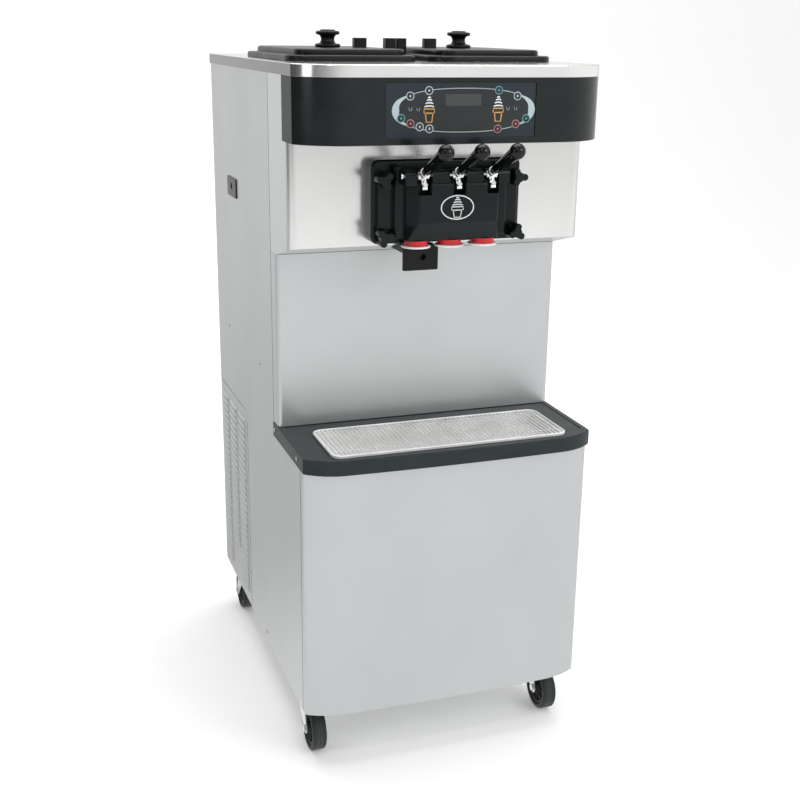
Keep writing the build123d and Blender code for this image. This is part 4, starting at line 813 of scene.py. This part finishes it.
def soft_box(name, place, target, size, power):
    """Rectangular lamp of that size in metres and power in watts, facing target."""
    data = bpy.data.lights.new(name, "AREA")
    data.shape = "RECTANGLE"
    data.size, data.size_y = size
    data.energy = power
    lamp = bpy.data.objects.new(name, data)
    lamp.location = place
    lamp.rotation_euler = (Vector(target) - Vector(place)).to_track_quat("-Z", "Y").to_euler()
    bpy.context.scene.collection.objects.link(lamp)


def set_camera():
    """Camera a little left of the machine and above its deck, looking down at it."""
    place = Vector((-0.891, -2.5593, 1.5544))
    turn, tilt, roll = -0.3397, 0.3019, 0.0131
    ahead = Vector((-math.sin(turn) * math.cos(tilt), math.cos(turn) * math.cos(tilt), -math.sin(tilt)))
    right = ahead.cross(Vector((0, 0, 1))).normalized()
    up = right.cross(ahead)
    rolled_right = right * math.cos(roll) + up * math.sin(roll)
    rolled_up = up * math.cos(roll) - right * math.sin(roll)
    data = bpy.data.cameras.new("camera")
    data.lens = 53.75
    data.sensor_width = 36.0
    camera = bpy.data.objects.new("camera", data)
    axes = Matrix((rolled_right, rolled_up, -ahead)).transposed()
    camera.matrix_world = Matrix.Translation(place) @ axes.to_4x4()
    bpy.context.scene.collection.objects.link(camera)
    bpy.context.scene.camera = camera


# share of the way from the left to the right, and the brightness there
SKY_GREYS = ((0.05, 0.10), (0.45, 0.72), (1.0, 0.95))


def set_world():
    """Darker on the left in reflections and in the light it gives, plain white to the camera."""
    world = bpy.data.worlds.new("studio")
    bpy.context.scene.world = world
    world.use_nodes = True
    tree = world.node_tree
    direction = tree.nodes.new("ShaderNodeTexCoord")
    parts = tree.nodes.new("ShaderNodeSeparateXYZ")
    across = tree.nodes.new("ShaderNodeMapRange")
    ramp = tree.nodes.new("ShaderNodeValToRGB")
    across.inputs["From Min"].default_value = -1.0
    ramp.color_ramp.elements.new(0.5)
    for element, (position, grey) in zip(ramp.color_ramp.elements, SKY_GREYS):
        element.position = position
        element.color = (grey, grey, grey, 1)
    tree.links.new(direction.outputs["Generated"], parts.inputs["Vector"])
    tree.links.new(parts.outputs["X"], across.inputs["Value"])
    tree.links.new(across.outputs["Result"], ramp.inputs["Fac"])
    background = tree.nodes["Background"]
    tree.links.new(ramp.outputs["Color"], background.inputs["Color"])
    plain = tree.nodes.new("ShaderNodeBackground")
    plain.inputs["Color"].default_value = (0.97, 0.97, 0.97, 1)
    path = tree.nodes.new("ShaderNodeLightPath")
    mix = tree.nodes.new("ShaderNodeMixShader")
    tree.links.new(path.outputs["Is Camera Ray"], mix.inputs["Fac"])
    tree.links.new(background.outputs["Background"], mix.inputs[1])
    tree.links.new(plain.outputs["Background"], mix.inputs[2])
    tree.links.new(mix.outputs["Shader"], tree.nodes["World Output"].inputs["Surface"])


TARGET = (0, 0, 0.8)
sweep_backdrop()
set_world()
soft_box("key_light", (2.2, -3.4, 3.0), TARGET, (2.2, 1.6), 45)
soft_box("fill_light", (-3.6, -1.6, 2.2), TARGET, (1.2, 2.0), 14)
soft_box("top_light", (0, 0.4, 3.8), TARGET, (3.0, 3.0), 75)
soft_box("spark_light", (-0.9, -1.6, 2.6), (0, -0.4, 1.2), (0.16, 0.16), 5)
set_camera()
scene = bpy.context.scene
scene.view_settings.view_transform = "Standard"
scene.view_settings.look = "None"
